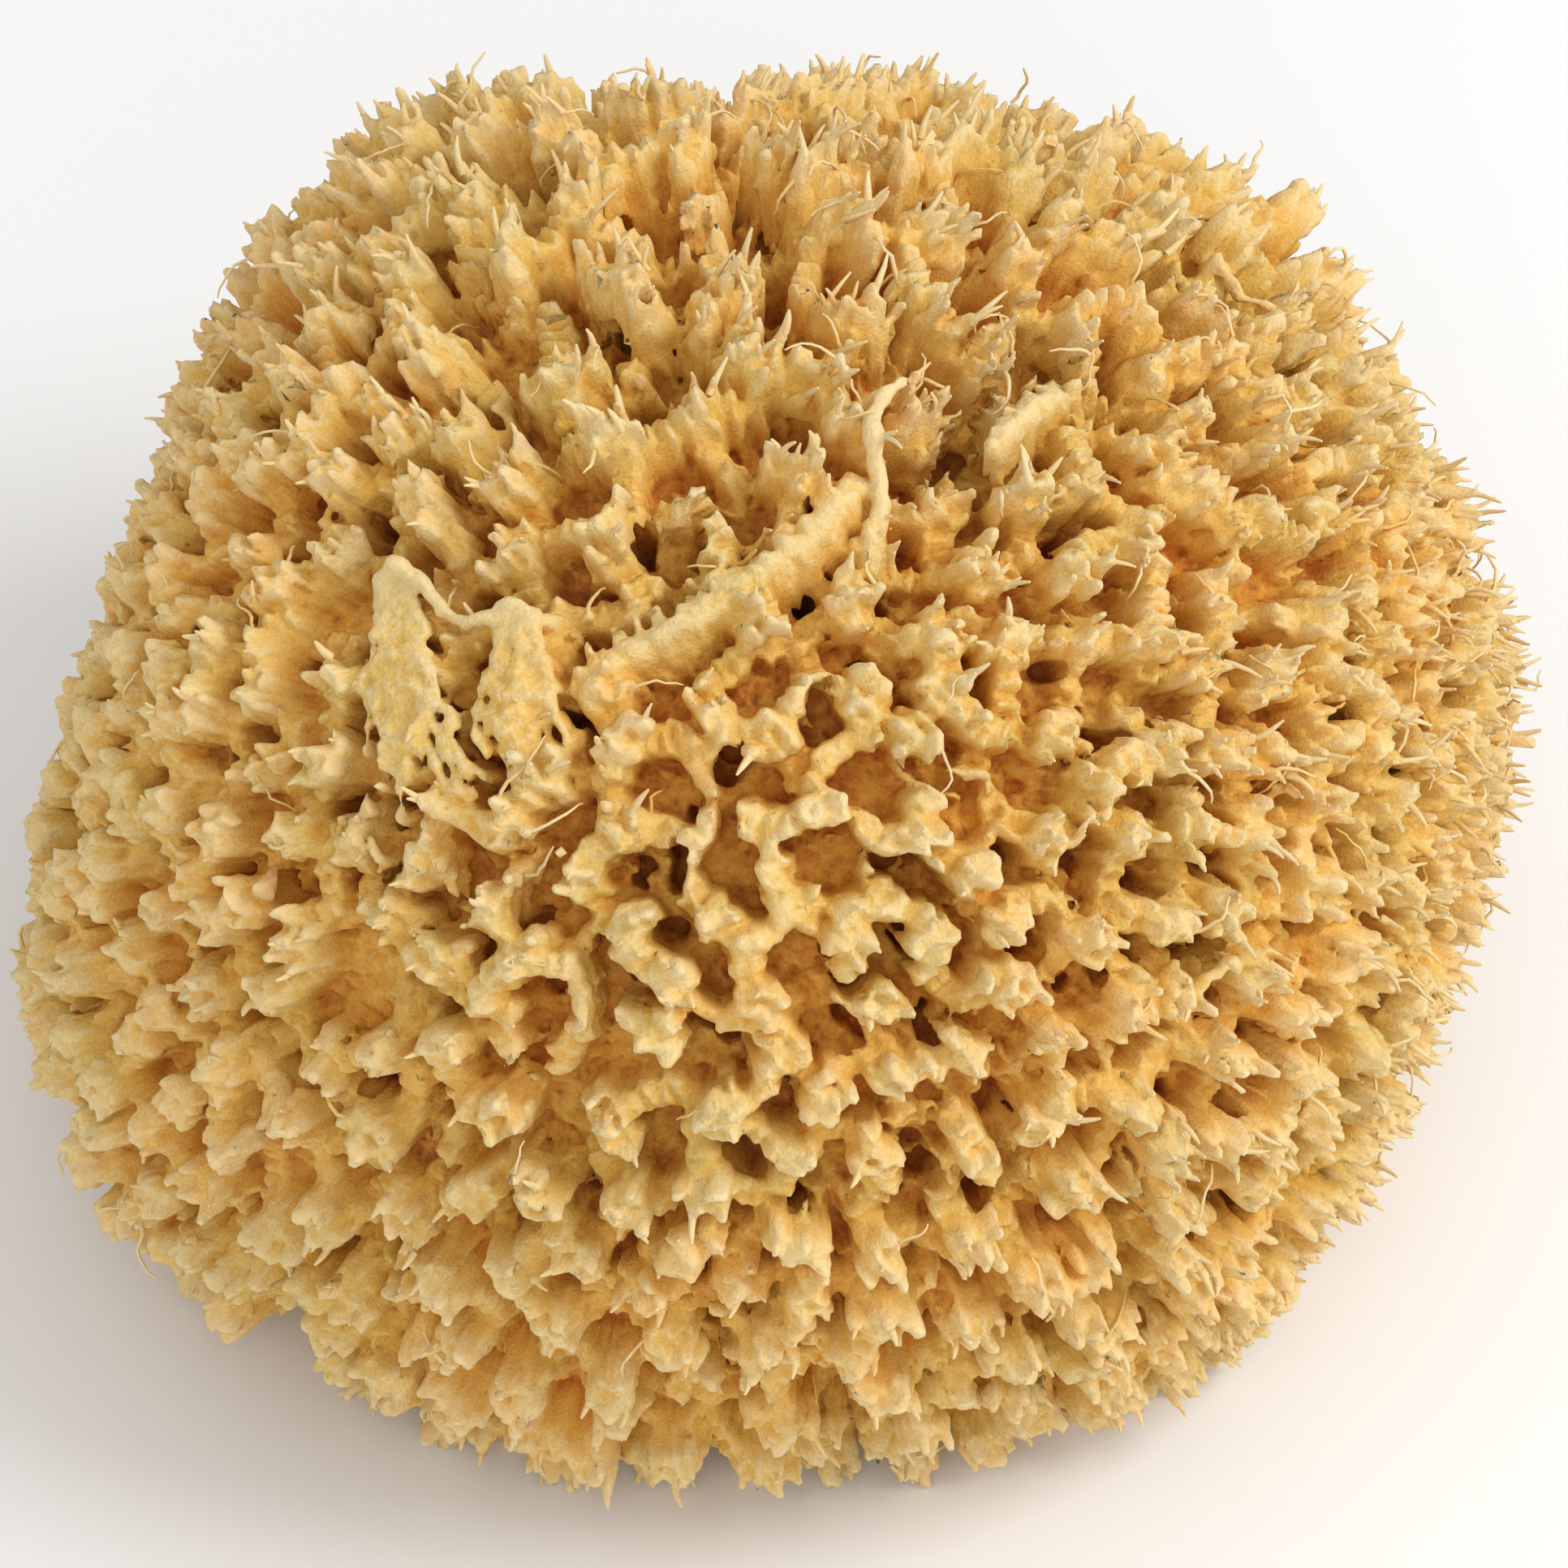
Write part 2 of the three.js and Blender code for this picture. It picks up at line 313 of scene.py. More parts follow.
class Melt:
    """A block of space. Each form adds to it, and forms that meet flow into each other."""

    reach = 4.6  # how many softnesses away a form is still felt

    def __init__(self, low, high, step, softness):
        self.low, self.step, self.softness = low, step, softness
        self.counts = np.ceil((high - low) / step).astype(int) + 1
        self.total = np.zeros(self.counts, np.float32)
        self.axes = [
            (low[k] + step * np.arange(self.counts[k])).astype(np.float32) for k in range(3)
        ]

    def window(self, low, high):
        margin = self.reach * self.softness
        first = np.floor((low - margin - self.low) / self.step).astype(int)
        last = np.ceil((high + margin - self.low) / self.step).astype(int) + 1
        first, last = np.maximum(first, 0), np.minimum(last, self.counts)
        if (last <= first).any():
            return None
        x, y, z = (self.axes[k][first[k] : last[k]] for k in range(3))
        slices = tuple(slice(*pair) for pair in zip(first, last))
        return slices, x[:, None, None], y[None, :, None], z[None, None, :]

    def add(self, slices, distance):
        distance *= -1 / self.softness
        self.total[slices] += np.exp(distance, out=distance)

    def finger(self, start, end, start_radius, end_radius):
        """A rod with round ends, from one radius to another."""
        widest = max(start_radius, end_radius)
        found = self.window(np.minimum(start, end) - widest, np.maximum(start, end) + widest)
        if found is None:
            return
        slices, x, y, z = found
        self.add(slices, rod_distance(x, y, z, start, end, start_radius, end_radius))

    def wall(self, middle, along, out, length, top, thickness):
        """An upright sheet. top and thickness give its profile, as wall_distance says."""
        across = np.cross(out, along)
        low_edge = top["root"]
        ends = [
            middle + side * along * length / 2 + out * height
            for side in (-1, 1)
            for height in (0, low_edge)
        ]
        room = thickness["root"] + abs(thickness["bow"])
        found = self.window(np.min(ends, 0) - room, np.max(ends, 0) + room)
        if found is None:
            return
        slices, x, y, z = found
        dx, dy, dz = x - middle[0], y - middle[1], z - middle[2]
        place = [
            dx * np.float32(axis[0]) + dy * np.float32(axis[1]) + dz * np.float32(axis[2])
            for axis in (along, out, across)
        ]
        self.add(slices, wall_distance(*place, length, top, thickness))

    def distance(self):
        """The distance to the melted surface, less than 0 inside it. It takes the total's place."""
        farthest = 4  # softnesses, past which the distance isn't told apart
        np.maximum(self.total, math.exp(-farthest), out=self.total)
        np.log(self.total, out=self.total)
        self.total *= -self.softness
        return self.total


def rod_distance(x, y, z, start, end, start_radius, end_radius):
    axis = np.float32(end - start)
    dx, dy, dz = x - np.float32(start[0]), y - np.float32(start[1]), z - np.float32(start[2])
    along = dx * axis[0] + dy * axis[1] + dz * axis[2]
    along *= 1 / max(float(axis @ axis), 1e-6)
    np.clip(along, 0, 1, out=along)
    square = (dx - along * axis[0]) ** 2
    square += (dy - along * axis[1]) ** 2
    square += (dz - along * axis[2]) ** 2
    distance = np.sqrt(square, out=square)
    along *= np.float32(end_radius - start_radius)
    distance -= along
    distance -= np.float32(start_radius)
    return distance


def wall_distance(along, out, across, length, top, thickness):
    """The toothed top sags between the two ends, and the sheet thickens and bends to its root."""
    share = np.clip(along * (2 / length), -1, 1)
    arch = 1 - share**2
    edge = top["start"] + (top["finish"] - top["start"]) * (share + 1) / 2 - top["sag"] * arch
    turn = along / top["tooth_gap"] + top["tooth_start"]
    turn -= np.floor(turn)
    edge += top["tooth_height"] * (1 - np.abs(2 * turn - 1))
    depth = np.clip(out / top["root"], 0, 1)
    half = thickness["edge"] + (thickness["root"] - thickness["edge"]) * np.sqrt(depth)
    bow = thickness["bow"] * arch * (1 - 0.5 * depth)
    rounding = thickness["edge"] * 0.9
    sides = np.abs(across - bow) - half + rounding
    above = out - edge + rounding
    beyond = np.abs(along) - length / 2 + rounding
    outside = np.sqrt(
        np.maximum(sides, 0) ** 2 + np.maximum(above, 0) ** 2 + np.maximum(beyond, 0) ** 2
    )
    inside = np.minimum(np.maximum(np.maximum(sides, above), beyond), 0)
    return outside + inside - rounding


# The growth


def tangents(places, random, count):
    """Random unit vectors along the surface at each place."""
    loose = random.normal(size=(len(places), count, 3))
    out = places[:, None]
    return unit(loose - (loose * out).sum(-1, keepdims=True) * out)


def chosen_tufts(tufts, random):
    """The junctions that grow into tufts, clear of each other. The others stay low."""
    gaps = style("tuft_gap", tufts) * random.uniform(0.8, 1.15, len(tufts)) / HALF_SIZES[0]
    tall = np.zeros(len(tufts), bool)
    for index in random.permutation(len(tufts)):
        near = ((tufts[tall] - tufts[index]) ** 2).sum(1)
        tall[index] = (near > gaps[index] ** 2).all()
    return tall


def wall_top(height, drops, sag, teeth, random):
    """The profile of a wall's top: nearly straight, sagging, or open down to its root."""
    kind = random.random()
    if kind < STRAIGHT_WALLS:
        sag = sag * random.uniform(0.1, 0.6)
    elif kind < STRAIGHT_WALLS + SAGGING_WALLS:
        sag = sag * random.uniform(0.8, 1.7)
    else:
        sag = 0.95 - drops.mean()
    return {
        "start": -drops[0] * height,
        "finish": -drops[1] * height,
        "sag": sag * height,
        "root": -height - WALL_ROOT,
        "tooth_gap": random.uniform(1.35, 2.1),
        "tooth_start": random.random(),
        "tooth_height": teeth * random.uniform(0.5, 1.2),
    }


def grow_walls(melt, tufts, tall, walls, radii, heights, random):
    """The sheets between the tufts. Gives back the tooth tops from which threads may grow."""
    places = unit(tufts[walls[:, 0]] + tufts[walls[:, 1]])
    sags, teeth, edges = (style(name, places) for name in ("sag", "teeth", "wall_edge"))
    drops = np.where(tall, style("end_drop", tufts), style("low_drop", tufts))
    drops = drops * random.uniform(0.85, 1.15, len(tufts))
    tops = []
    for index, (first, second, *_) in enumerate(walls):
        start, end, out = tufts[first], tufts[second], places[index]
        radius = (radii[first] + radii[second]) / 2
        length = float(np.linalg.norm(end - start)) * radius
        if length > LONGEST_WALL:
            continue
        height = (heights[first] + heights[second]) / 2
        top = wall_top(height, drops[[first, second]], sags[index], teeth[index], random)
        thickness = {
            "edge": edges[index] * random.uniform(0.8, 1.2),
            "root": random.uniform(1.3, 2.1),
            "bow": random.normal(0, 0.13) * length,
        }
        along = unit(end - start)
        melt.wall(out * radius, along, out, length + 0.6, top, thickness)
        middle = (top["start"] + top["finish"]) / 2 - top["sag"]
        if middle > -0.6 * height:
            tooth = out * (radius + middle + 0.2) + np.cross(out, along) * thickness["bow"]
            tops.append({"place": tooth + along * random.uniform(-0.2, 0.2) * length, "out": out})
    return tops


def grow_palm(melt, at, blade, fork, wide, random):
    """The stem of a tuft and the blade over it from which the fingers rise."""
    straight = np.zeros(3)
    foot_radius, neck_radius = 1.7 + 0.3 * random.random(), 1.1
    melt.finger(at(fork * 2 + 2, straight), at(fork, straight), foot_radius, neck_radius)
    tip = at(0, straight)
    out = unit(tip - at(fork * 1.8, straight))
    along = unit(blade - (blade @ out) * out)
    top = {
        "start": -fork * random.uniform(0.75, 1.1),
        "finish": -fork * random.uniform(0.75, 1.1),
        "sag": -fork * random.uniform(0.1, 0.3),
        "root": -fork * 2.1,
        "tooth_gap": random.uniform(1.3, 1.9),
        "tooth_start": random.random(),
        "tooth_height": fork * random.uniform(0.1, 0.25),
    }
    thickness = {
        "edge": 0.62,
        "root": random.uniform(1.3, 1.8),
        "bow": random.normal(0, 0.16) * wide,
    }
    melt.wall(tip, along, out, wide + 1.4, top, thickness)


def grow_finger(melt, at, fork, depth, shift, thick, blunt):
    """A finger from the fork of a tuft, with a knee. Gives back its end and the way that it points."""
    foot = at(fork * 1.25, shift * 0.45)  # inside the blade
    knee = at(fork * 0.62 + depth * 0.38, shift * 0.88)
    end = at(depth, shift * 1.12)  # spread a little past the blade's own place
    melt.finger(foot, knee, thick * 1.4, thick)
    melt.finger(knee, end, thick, blunt)
    return end, unit(end - knee)


def drift(places, random):
    """Unit vectors along the surface that turn slowly from place to place, with some scatter."""
    way = np.zeros(places.shape)
    for length in (2.2, 4.5):
        turns = random.normal(0, length, (3, 3))
        way += np.sin(places @ turns + random.uniform(0, 2 * math.pi, 3))
    way += random.normal(0, 0.55, places.shape)
    return unit(way - (way * places).sum(1, keepdims=True) * places)


def grow_tufts(melt, tufts, links, radii, heights, random):
    """Each tuft is a stem with a fan of fingers across it. Gives back the ends of the fingers."""
    styles = {name: style(name, tufts) for name in STYLES}
    leaning = drift(tufts, random)
    ends = []
    for index, out in enumerate(tufts):
        radius, height = radii[index], heights[index]
        fork = min(styles["fork"][index] * random.uniform(0.8, 1.3), height * 0.6)
        lean = leaning[index] * styles["lean"][index] * random.uniform(0.3, 1.2)
        blade = unit(links[index][random.integers(len(links[index]))] + random.normal(0, 0.02, 3))
        blade = unit(blade - (blade @ out) * out)
        side = np.cross(out, blade)
        wide = styles["fan_width"][index] * random.uniform(0.7, 1.3)

        def at(depth, shift):
            """The place so far under the tip, aside by a shift, on the leaning tuft."""
            share = 1 - min(depth / height, 1)
            return out * (radius - depth) + lean * share**2 + shift

        grow_palm(melt, at, blade, fork, wide, random)
        count = max(2, round(styles["fingers"][index] + random.normal(0, 0.8)))
        spots = [((k / (count - 1) - 0.5) * wide, random.normal(0, 0.35)) for k in range(count)]
        spots += [(random.normal(0, 0.7), way * random.uniform(1.1, 2.1)) for way in (-1, 1)]
        for along, across in spots:
            shift = blade * (along + random.normal(0, 0.2)) + side * across
            away = math.hypot(along, across)
            depth = fork * random.uniform(0.02, 0.34) + away * random.uniform(0.1, 0.7)
            thick = styles["finger_radius"][index] * random.uniform(0.8, 1.15)
            blunt = styles["tip_radius"][index] * random.uniform(0.85, 1.15)
            end, way = grow_finger(melt, at, fork, min(depth, fork * 0.9), shift, thick, blunt)
            made = {"place": end, "way": way, "out": out, "radius": blunt}
            ends.append({**made, "fray": styles["fray"][index], "frayed": styles["frayed"][index]})
    return ends


def grow_bridges(melt, pits, tufts, walls, radii, random):
    """Strands across some of the pits, from one tuft to another that isn't beside it."""
    rims = [[] for _ in pits]
    for first, second, *sides in walls:
        for pit in sides:
            rims[pit].append((first, second))
    chosen = np.flatnonzero(random.random(len(pits)) < BRIDGED_PITS)
    for pit in chosen:
        around = sorted({tuft for pair in rims[pit] for tuft in pair})
        if len(around) < 4:
            continue
        first, second = random.choice(around, 2, replace=False)
        depth = random.uniform(2.6, 5.5)
        start, end = tufts[first] * (radii[first] - depth), tufts[second] * (radii[second] - depth - 1)
        middle = (start + end) / 2 + unit(random.normal(size=3)) * 0.8 - pits[pit] * 0.6
        slim = random.uniform(0.34, 0.56)
        if np.linalg.norm(end - start) > LONGEST_BRIDGE:
            continue
        melt.finger(start, middle, slim * 1.6, slim)
        melt.finger(middle, end, slim, slim * 1.6)


def grow_strand(melt, places, depth, radius):
    points = places * (body_radius(places) - np.array(depth))[:, None]
    for k in range(len(points) - 1):
        melt.finger(points[k], points[k + 1], radius[k], radius[k + 1])


def finer(corners, parts):
    """Places along a line over the ball, each length of it in so many parts."""
    at = np.linspace(0, len(corners) - 1, parts * (len(corners) - 1) + 1)
    return unit(np.stack([np.interp(at, range(len(corners)), corners[:, k]) for k in range(3)], 1))


def grow_crest(melt, path, sunk, half, root, random):
    """A leaning sheet with a thick smooth edge that dips at both ends, one length after another."""
    places = finer(directions(path), 4)
    points = places * (body_radius(places) - sunk)[:, None]
    along_path = np.linspace(-1, 1, len(points))
    rises = random.uniform(-0.4, 0.1, len(points)) - 1.8 * along_path**4
    for k in range(len(points) - 1):
        start, end = points[k], points[k + 1]
        along = unit(end - start)
        middle = (start + end) / 2
        out = unit(unit(middle) - CREST_LEAN * np.cross(along, unit(middle)))
        out = unit(out - (out @ along) * along)
        edge = half * (1 - 0.35 * along_path[k] ** 2) * random.uniform(0.75, 1.2)
        top = {
            "start": rises[k],
            "finish": rises[k + 1],
            "sag": 0,
            "root": -8,
            "tooth_gap": random.uniform(0.9, 1.9),
            "tooth_start": random.random(),
            "tooth_height": random.uniform(0.2, 0.9),
        }
        thickness = {"edge": edge, "root": root, "bow": 0}
        melt.wall(middle, along, out, float(np.linalg.norm(end - start)) + 1.4 * edge, top, thickness)
        back = np.cross(out, along)
        for _ in range(2):
            foot = start + (end - start) * random.random() + out * (rises[k] - 1.2)
            point = foot + back * random.uniform(0.9, 2.6) + out * random.uniform(0.2, 1.3)
            melt.finger(foot, point, random.uniform(0.6, 0.9), random.uniform(0.28, 0.45))


def grow_drape(melt, corners, count, random):
    """A skin of flutes side by side, each with a web down into the body."""
    start, end, low_start, low_end = directions(corners)
    for k in range(count):
        share = k / (count - 1)
        top = start + (end - start) * share
        foot = low_start + (low_end - low_start) * share
        steps = np.linspace(0, random.uniform(0.7, 1.2), 6)[:, None]
        places = unit(top + (foot - top) * steps + random.normal(0, 0.002, (6, 3)))
        sink = random.uniform(0, 1.2)
        depth = np.array(FLUTE_DEPTHS) + sink * np.array(FLUTE_SINKS)
        grow_strand(melt, places, depth, FLUTE_RADII)
        for place, deep in zip(places[1:], depth[1:]):
            radius = float(body_radius(place))
            melt.finger(place * (radius - deep - 1.1), place * (radius - 12), 0.7, 1.8)


def grow_marks(melt, random):
    """The smooth ridge, the bent strand and the draped skins of the upper front."""
    for _, path, sunk, half, root in CRESTS:
        grow_crest(melt, path, sunk, half, root, random)
    for _, path, depth, radius in STRANDS:
        grow_strand(melt, directions(path), depth, radius)
    for _, *corners, count in DRAPES:
        grow_drape(melt, corners, count, random)


def in_a_pit(places):
    found = np.zeros(len(places), bool)
    for _, start, end, half_width, _ in PITS:
        gap = np.radians(path_gap(places, (start, end))) * HALF_SIZES[0]
        found |= gap < half_width + TUFT_MARGIN
    return found


def middle_line(start, end, low_start, low_end):
    """The line down the middle of a drape, which ends short of its lower edge."""
    top, foot = np.mean([start, end], 0), np.mean([low_start, low_end], 0)
    return tuple(top), tuple(top + (foot - top) * 0.7)


def on_marks(places, width):
    """1 on the marks of the upper front, falling smoothly to 0 beside them."""
    paths = [path for _, path, *_ in CRESTS + STRANDS]
    paths += [middle_line(*corners) for _, *corners, _ in DRAPES]
    return np.max([path_nearness(places, path, width) for path in paths], 0)


def grow(low, high):
    """The block of space with all that grows in it, and what the pits and threads start from."""
    random = np.random.default_rng(SEED)
    pits = pit_places(random)
    tufts, walls = network(pits)
    links = [[] for _ in tufts]
    for first, second, *_ in walls:
        links[first].append(unit(tufts[second] - tufts[first]))
        links[second].append(unit(tufts[first] - tufts[second]))
    tall = chosen_tufts(tufts, random)
    radii = body_radius(tufts) - TIP_DEPTH - TIP_SPREAD * random.random(len(tufts)) ** 1.5
    radii -= CLEARED_DEPTH * on_marks(tufts, CLEARED_WIDTH)
    heights = style("height", tufts) * random.uniform(0.85, 1.1, len(tufts))
    reached = tufts[:, 2] * radii + MIDDLE[2] > -UNDER_CUT
    standing = walls[reached[walls[:, 0]] & reached[walls[:, 1]]]
    melt = Melt(low, high, STEP, SOFTNESS)
    tops = grow_walls(melt, tufts, tall, standing, radii, heights, random)
    grow_bridges(melt, pits, tufts, standing, radii, random)
    grow_marks(melt, random)
    kept = np.flatnonzero(reached & tall & ~in_a_pit(tufts))
    ends = grow_tufts(melt, tufts[kept], [links[k] for k in kept], radii[kept], heights[kept], random)
    return melt, pits, tops, ends, random


def coarse_points(melt, factor):
    counts = (melt.counts - 1) // factor + 2
    axes = [melt.low[k] + factor * melt.step * np.arange(counts[k]) for k in range(3)]
    return np.stack(np.meshgrid(*axes, indexing="ij"), -1).astype(np.float32)


def refined(values, factor, counts):
    """Values known at every few points of a block, filled in between them."""
    for axis in range(3):
        at = np.arange(counts[axis]) / factor
        low = at.astype(int)
        share = (at - low).astype(np.float32)
        share = share.reshape([-1 if k == axis else 1 for k in range(3)])
        low_values, high_values = values.take(low, axis), values.take(low + 1, axis)
        high_values -= low_values
        high_values *= share
        low_values += high_values
        values = low_values
    return values


def add_core(melt):
    """The body under the pits' floors."""
    factor = 3
    points = coarse_points(melt, factor)
    places = unit(points)
    floor = body_radius(places) - style("height", places) - CORE_DEPTH
    depth = np.linalg.norm(points, axis=-1) - floor
    depth = np.maximum(depth, -3).astype(np.float32)
    fine = refined(depth, factor, melt.counts)
    fine *= -1 / melt.softness
    np.exp(fine, out=fine)
    melt.total += fine


def carve(melt, distance, start, end, start_radius, end_radius):
    """Takes a rod with round ends out of the form, with a soft edge."""
    widest = max(start_radius, end_radius)
    found = melt.window(np.minimum(start, end) - widest, np.maximum(start, end) + widest)
    if found is None:
        return
    slices, x, y, z = found
    hole = rod_distance(x, y, z, start, end, start_radius, end_radius)
    np.negative(hole, out=hole)
    blend = 0.5
    gap = np.clip(0.5 + 0.5 * (hole - distance[slices]) / blend, 0, 1)
    mixed = distance[slices] * (1 - gap) + hole * gap + blend * gap * (1 - gap) * 0.5
    distance[slices] = mixed


def carve_canals(melt, distance, pits, random):
    """Canals that run on from the floors of some pits, up to three from each."""
    floors = body_radius(pits) - style("height", pits)
    sizes = style("spacing", pits)
    ways = tangents(pits, random, 2)
    canals = np.flatnonzero(random.random(len(pits)) < CANAL_SHARE)
    for index in canals:
        out = pits[index]
        for _ in range(random.integers(1, 4)):
            aside = ways[index, 0] * sizes[index] * random.uniform(-0.12, 0.3)
            aside = aside + ways[index, 1] * sizes[index] * random.uniform(-0.14, 0.14)
            width = sizes[index] * random.uniform(0.09, 0.22)
            start = out * (floors[index] + 1.5) + aside
            end = out * (floors[index] - random.uniform(1.5, 6.0)) + aside * random.uniform(0.5, 2.2)
            carve(melt, distance, start, end, width, width * 0.6)


def carve_deep_pits(melt, distance):
    """Each deep pit, level by level, narrower as it goes down."""
    for _, start, end, half_width, depth in PITS:
        rim = directions((start, end))
        radii = body_radius(rim)[:, None]
        levels = math.ceil(depth / half_width)
        for level in range(levels + 1):
            share = level / levels
            wide = half_width * (1.05 - 0.4 * share)
            bed = rim * (radii + 1 - (depth + 1) * share)
            carve(melt, distance, bed[0], bed[1], wide, wide)


def carve_slot(melt, distance):
    slot = directions(SLOT)
    bed = slot * (body_radius(slot) - SLOT_DEPTH)[:, None]
    for start, end in zip(bed, bed[1:]):
        carve(melt, distance, start, end, SLOT_RADIUS, SLOT_RADIUS)


def skin_waves(random):
    """Waves for the roughness: half of them run out from the middle, as flutes."""
    waves = []
    for length, height, fluted in ((1.6, 0.19, True), (2.6, 0.08, False), (1.2, 0.05, False)):
        count = 7
        for _ in range(count):
            way = unit(random.normal(size=3)) * (2 * math.pi / (length * random.uniform(0.55, 1.8)))
            phase = random.uniform(0, 2 * math.pi)
            waves.append((fluted, np.float32(way), np.float32(phase), 1.4 * height / math.sqrt(count)))
    return waves


def calmed(points, radius):
    """The share of the roughness that is left on the marks and beside them."""
    places = points / radius
    share = np.ones(len(points), np.float32)
    limit = math.cos(math.radians(MARKS_REACH))
    near = np.flatnonzero(places @ direction(*MARKS_MIDDLE) > limit)
    share[near] -= CALM * on_marks(places[near], CALM_WIDTH)
    return share


def roughen(melt, distance):
    """Low flutes that run up the tufts, and a lumpy skin."""
    waves = skin_waves(np.random.default_rng(SEED + 1))
    slab = 40
    near_enough = 3 * SOFTNESS
    for first in range(0, distance.shape[0], slab):
        part = distance[first : first + slab]
        near = np.nonzero(np.abs(part) < near_enough)
        at = (near[0] + first, near[1], near[2])
        points = np.stack([melt.axes[k][at[k]] for k in range(3)], 1)
        radius = np.linalg.norm(points, axis=1, keepdims=True)
        spread = points * (np.float32(HALF_SIZES[0]) / radius)
        rough = np.zeros(len(points), np.float32)
        for fluted, way, phase, height in waves:
            rough += np.float32(height) * np.sin((spread if fluted else points) @ way + phase)
        part[near] += rough * calmed(points, radius)


def cut_flat(melt, distance):
    """The flat cut, with the open ends of canals in it."""
    random = np.random.default_rng(SEED + 2)
    floor = -MIDDLE[2]
    holes = 170
    reach = 56
    for _ in range(holes):
        turn, away = random.uniform(0, 2 * math.pi), reach * math.sqrt(random.random())
        foot = np.array([away * math.cos(turn), away * math.sin(turn), floor - 1.5])
        wide = random.uniform(1.0, 2.9)
        lean = random.normal(0, 2.0, 3)
        top = foot + np.array([lean[0], lean[1], random.uniform(4, 11)])
        carve(melt, distance, foot, top, wide, wide * 0.6)
    below = (floor - melt.axes[2])[None, None, :]
    np.maximum(distance, below, out=distance)


# Meshes from the block


def sampled(values, melt, points):
    """The block's values at any points, between its own."""
    at = (points - melt.low) / melt.step
    low = np.clip(np.floor(at).astype(int), 0, melt.counts - 2)
    share = (at - low).astype(np.float32)
    result = np.zeros(len(points), np.float32)
    for corner in range(8):
        offset = np.array([corner & 1, corner >> 1 & 1, corner >> 2 & 1])
        weight = np.prod(np.where(offset, share, 1 - share), axis=1)
        x, y, z = (low + offset).T
        result += weight * values[x, y, z]
    return result


def slopes(values, melt, points):
    """The way that the distance grows fastest, which is the surface's own facing."""
    gap = melt.step * 0.6
    facing = np.zeros_like(points)
    for axis in range(3):
        shift = np.zeros(3)
        shift[axis] = gap
        facing[:, axis] = sampled(values, melt, points + shift) - sampled(values, melt, points - shift)
    return facing


def block_mesh(name, values, melt, first, last):
    """A closed mesh of what the block holds between two corners."""
    part = values[first[0] : last[0], first[1] : last[1], first[2] : last[2]]
    outside = float(values.max())
    closed = np.pad(part, 1, constant_values=outside)
    grid = openvdb.FloatGrid(outside)
    grid.copyFromArray(closed, tolerance=1e-4)
    points, triangles, quads = grid.convertToPolygons(isovalue=0.0, adaptivity=0.0)
    points = (points - 1 + first) * melt.step + melt.low
    mesh = bpy.data.meshes.new(name)
    corners = np.concatenate([quads.ravel(), triangles.ravel()]).astype(np.int32)
    sizes = np.concatenate([np.full(len(quads), 4), np.full(len(triangles), 3)]).astype(np.int32)
    mesh.vertices.add(len(points))
    mesh.vertices.foreach_set("co", points.astype(np.float32).ravel())
    mesh.loops.add(len(corners))
    mesh.loops.foreach_set("vertex_index", corners)
    mesh.polygons.add(len(sizes))
    starts = np.concatenate([[0], np.cumsum(sizes)[:-1]]).astype(np.int32)
    mesh.polygons.foreach_set("loop_start", starts)
    mesh.update(calc_edges=True)
    mesh.validate()
    return mesh


def vertex_places(mesh):
    found = np.empty(len(mesh.vertices) * 3, np.float32)
    mesh.vertices.foreach_get("co", found)
    return found.reshape(-1, 3).astype(float)


def add_measure(mesh, name, values):
    made = mesh.attributes.new(name, "FLOAT", "POINT")
    made.data.foreach_set("value", values.astype(np.float32))


def outward(mesh):
    """Turns the mesh right side out if it is inside out."""
    mesh.calc_loop_triangles()
    points = vertex_places(mesh)
    corners = np.empty(len(mesh.loop_triangles) * 3, np.int32)
    mesh.loop_triangles.foreach_get("vertices", corners)
    a, b, c = (points[corners.reshape(-1, 3)[:, k]] for k in range(3))
    volume = (a * np.cross(b, c)).sum()
    if volume < 0:
        mesh.flip_normals()


def thinned(pieces, most_faces):
    """Plain meshes of the pieces with no more faces than asked, keeping their shape."""
    for piece in pieces:
        faces = sum(len(face.vertices) - 2 for face in piece.data.polygons)
        thin = piece.modifiers.new("thin", "DECIMATE")
        thin.ratio = min(1, most_faces / faces)
        thin.use_collapse_triangulate = True
    graph = bpy.context.evaluated_depsgraph_get()
    for piece in pieces:
        full = piece.data
        mesh = bpy.data.meshes.new_from_object(piece.evaluated_get(graph))
        piece.modifiers.clear()
        piece.data = mesh
        bpy.data.meshes.remove(full)
        mesh.name = piece.name


def islands(mesh):
    """A number for each vertex, the same for all that hang together."""
    edges = np.empty(len(mesh.edges) * 2, np.int32)
    mesh.edges.foreach_get("vertices", edges)
    first, second = edges.reshape(-1, 2).T
    label = np.arange(len(mesh.vertices))
    while True:
        lowest = label.copy()
        np.minimum.at(lowest, first, label[second])
        np.minimum.at(lowest, second, label[first])
        lowest = lowest[lowest]
        if (lowest == label).all():
            return label
        label = lowest


def without_crumbs(mesh, low, high):
    """Takes out bits that hang on nothing, and gives back their places. Those at the seams stay."""
    _, which, sizes = np.unique(islands(mesh), return_inverse=True, return_counts=True)
    points = vertex_places(mesh)
    at_seam = ((points < low + STEP) | (points > high - STEP)).any(1)
    kept = sizes > CRUMB_SIZE
    kept[which[at_seam]] = True
    gone = np.flatnonzero(~kept[which])
    shape = bmesh.new()
    shape.from_mesh(mesh)
    shape.verts.ensure_lookup_table()
    bmesh.ops.delete(shape, geom=[shape.verts[index] for index in gone], context="VERTS")
    shape.to_mesh(mesh)
    shape.free()
    return points[gone]


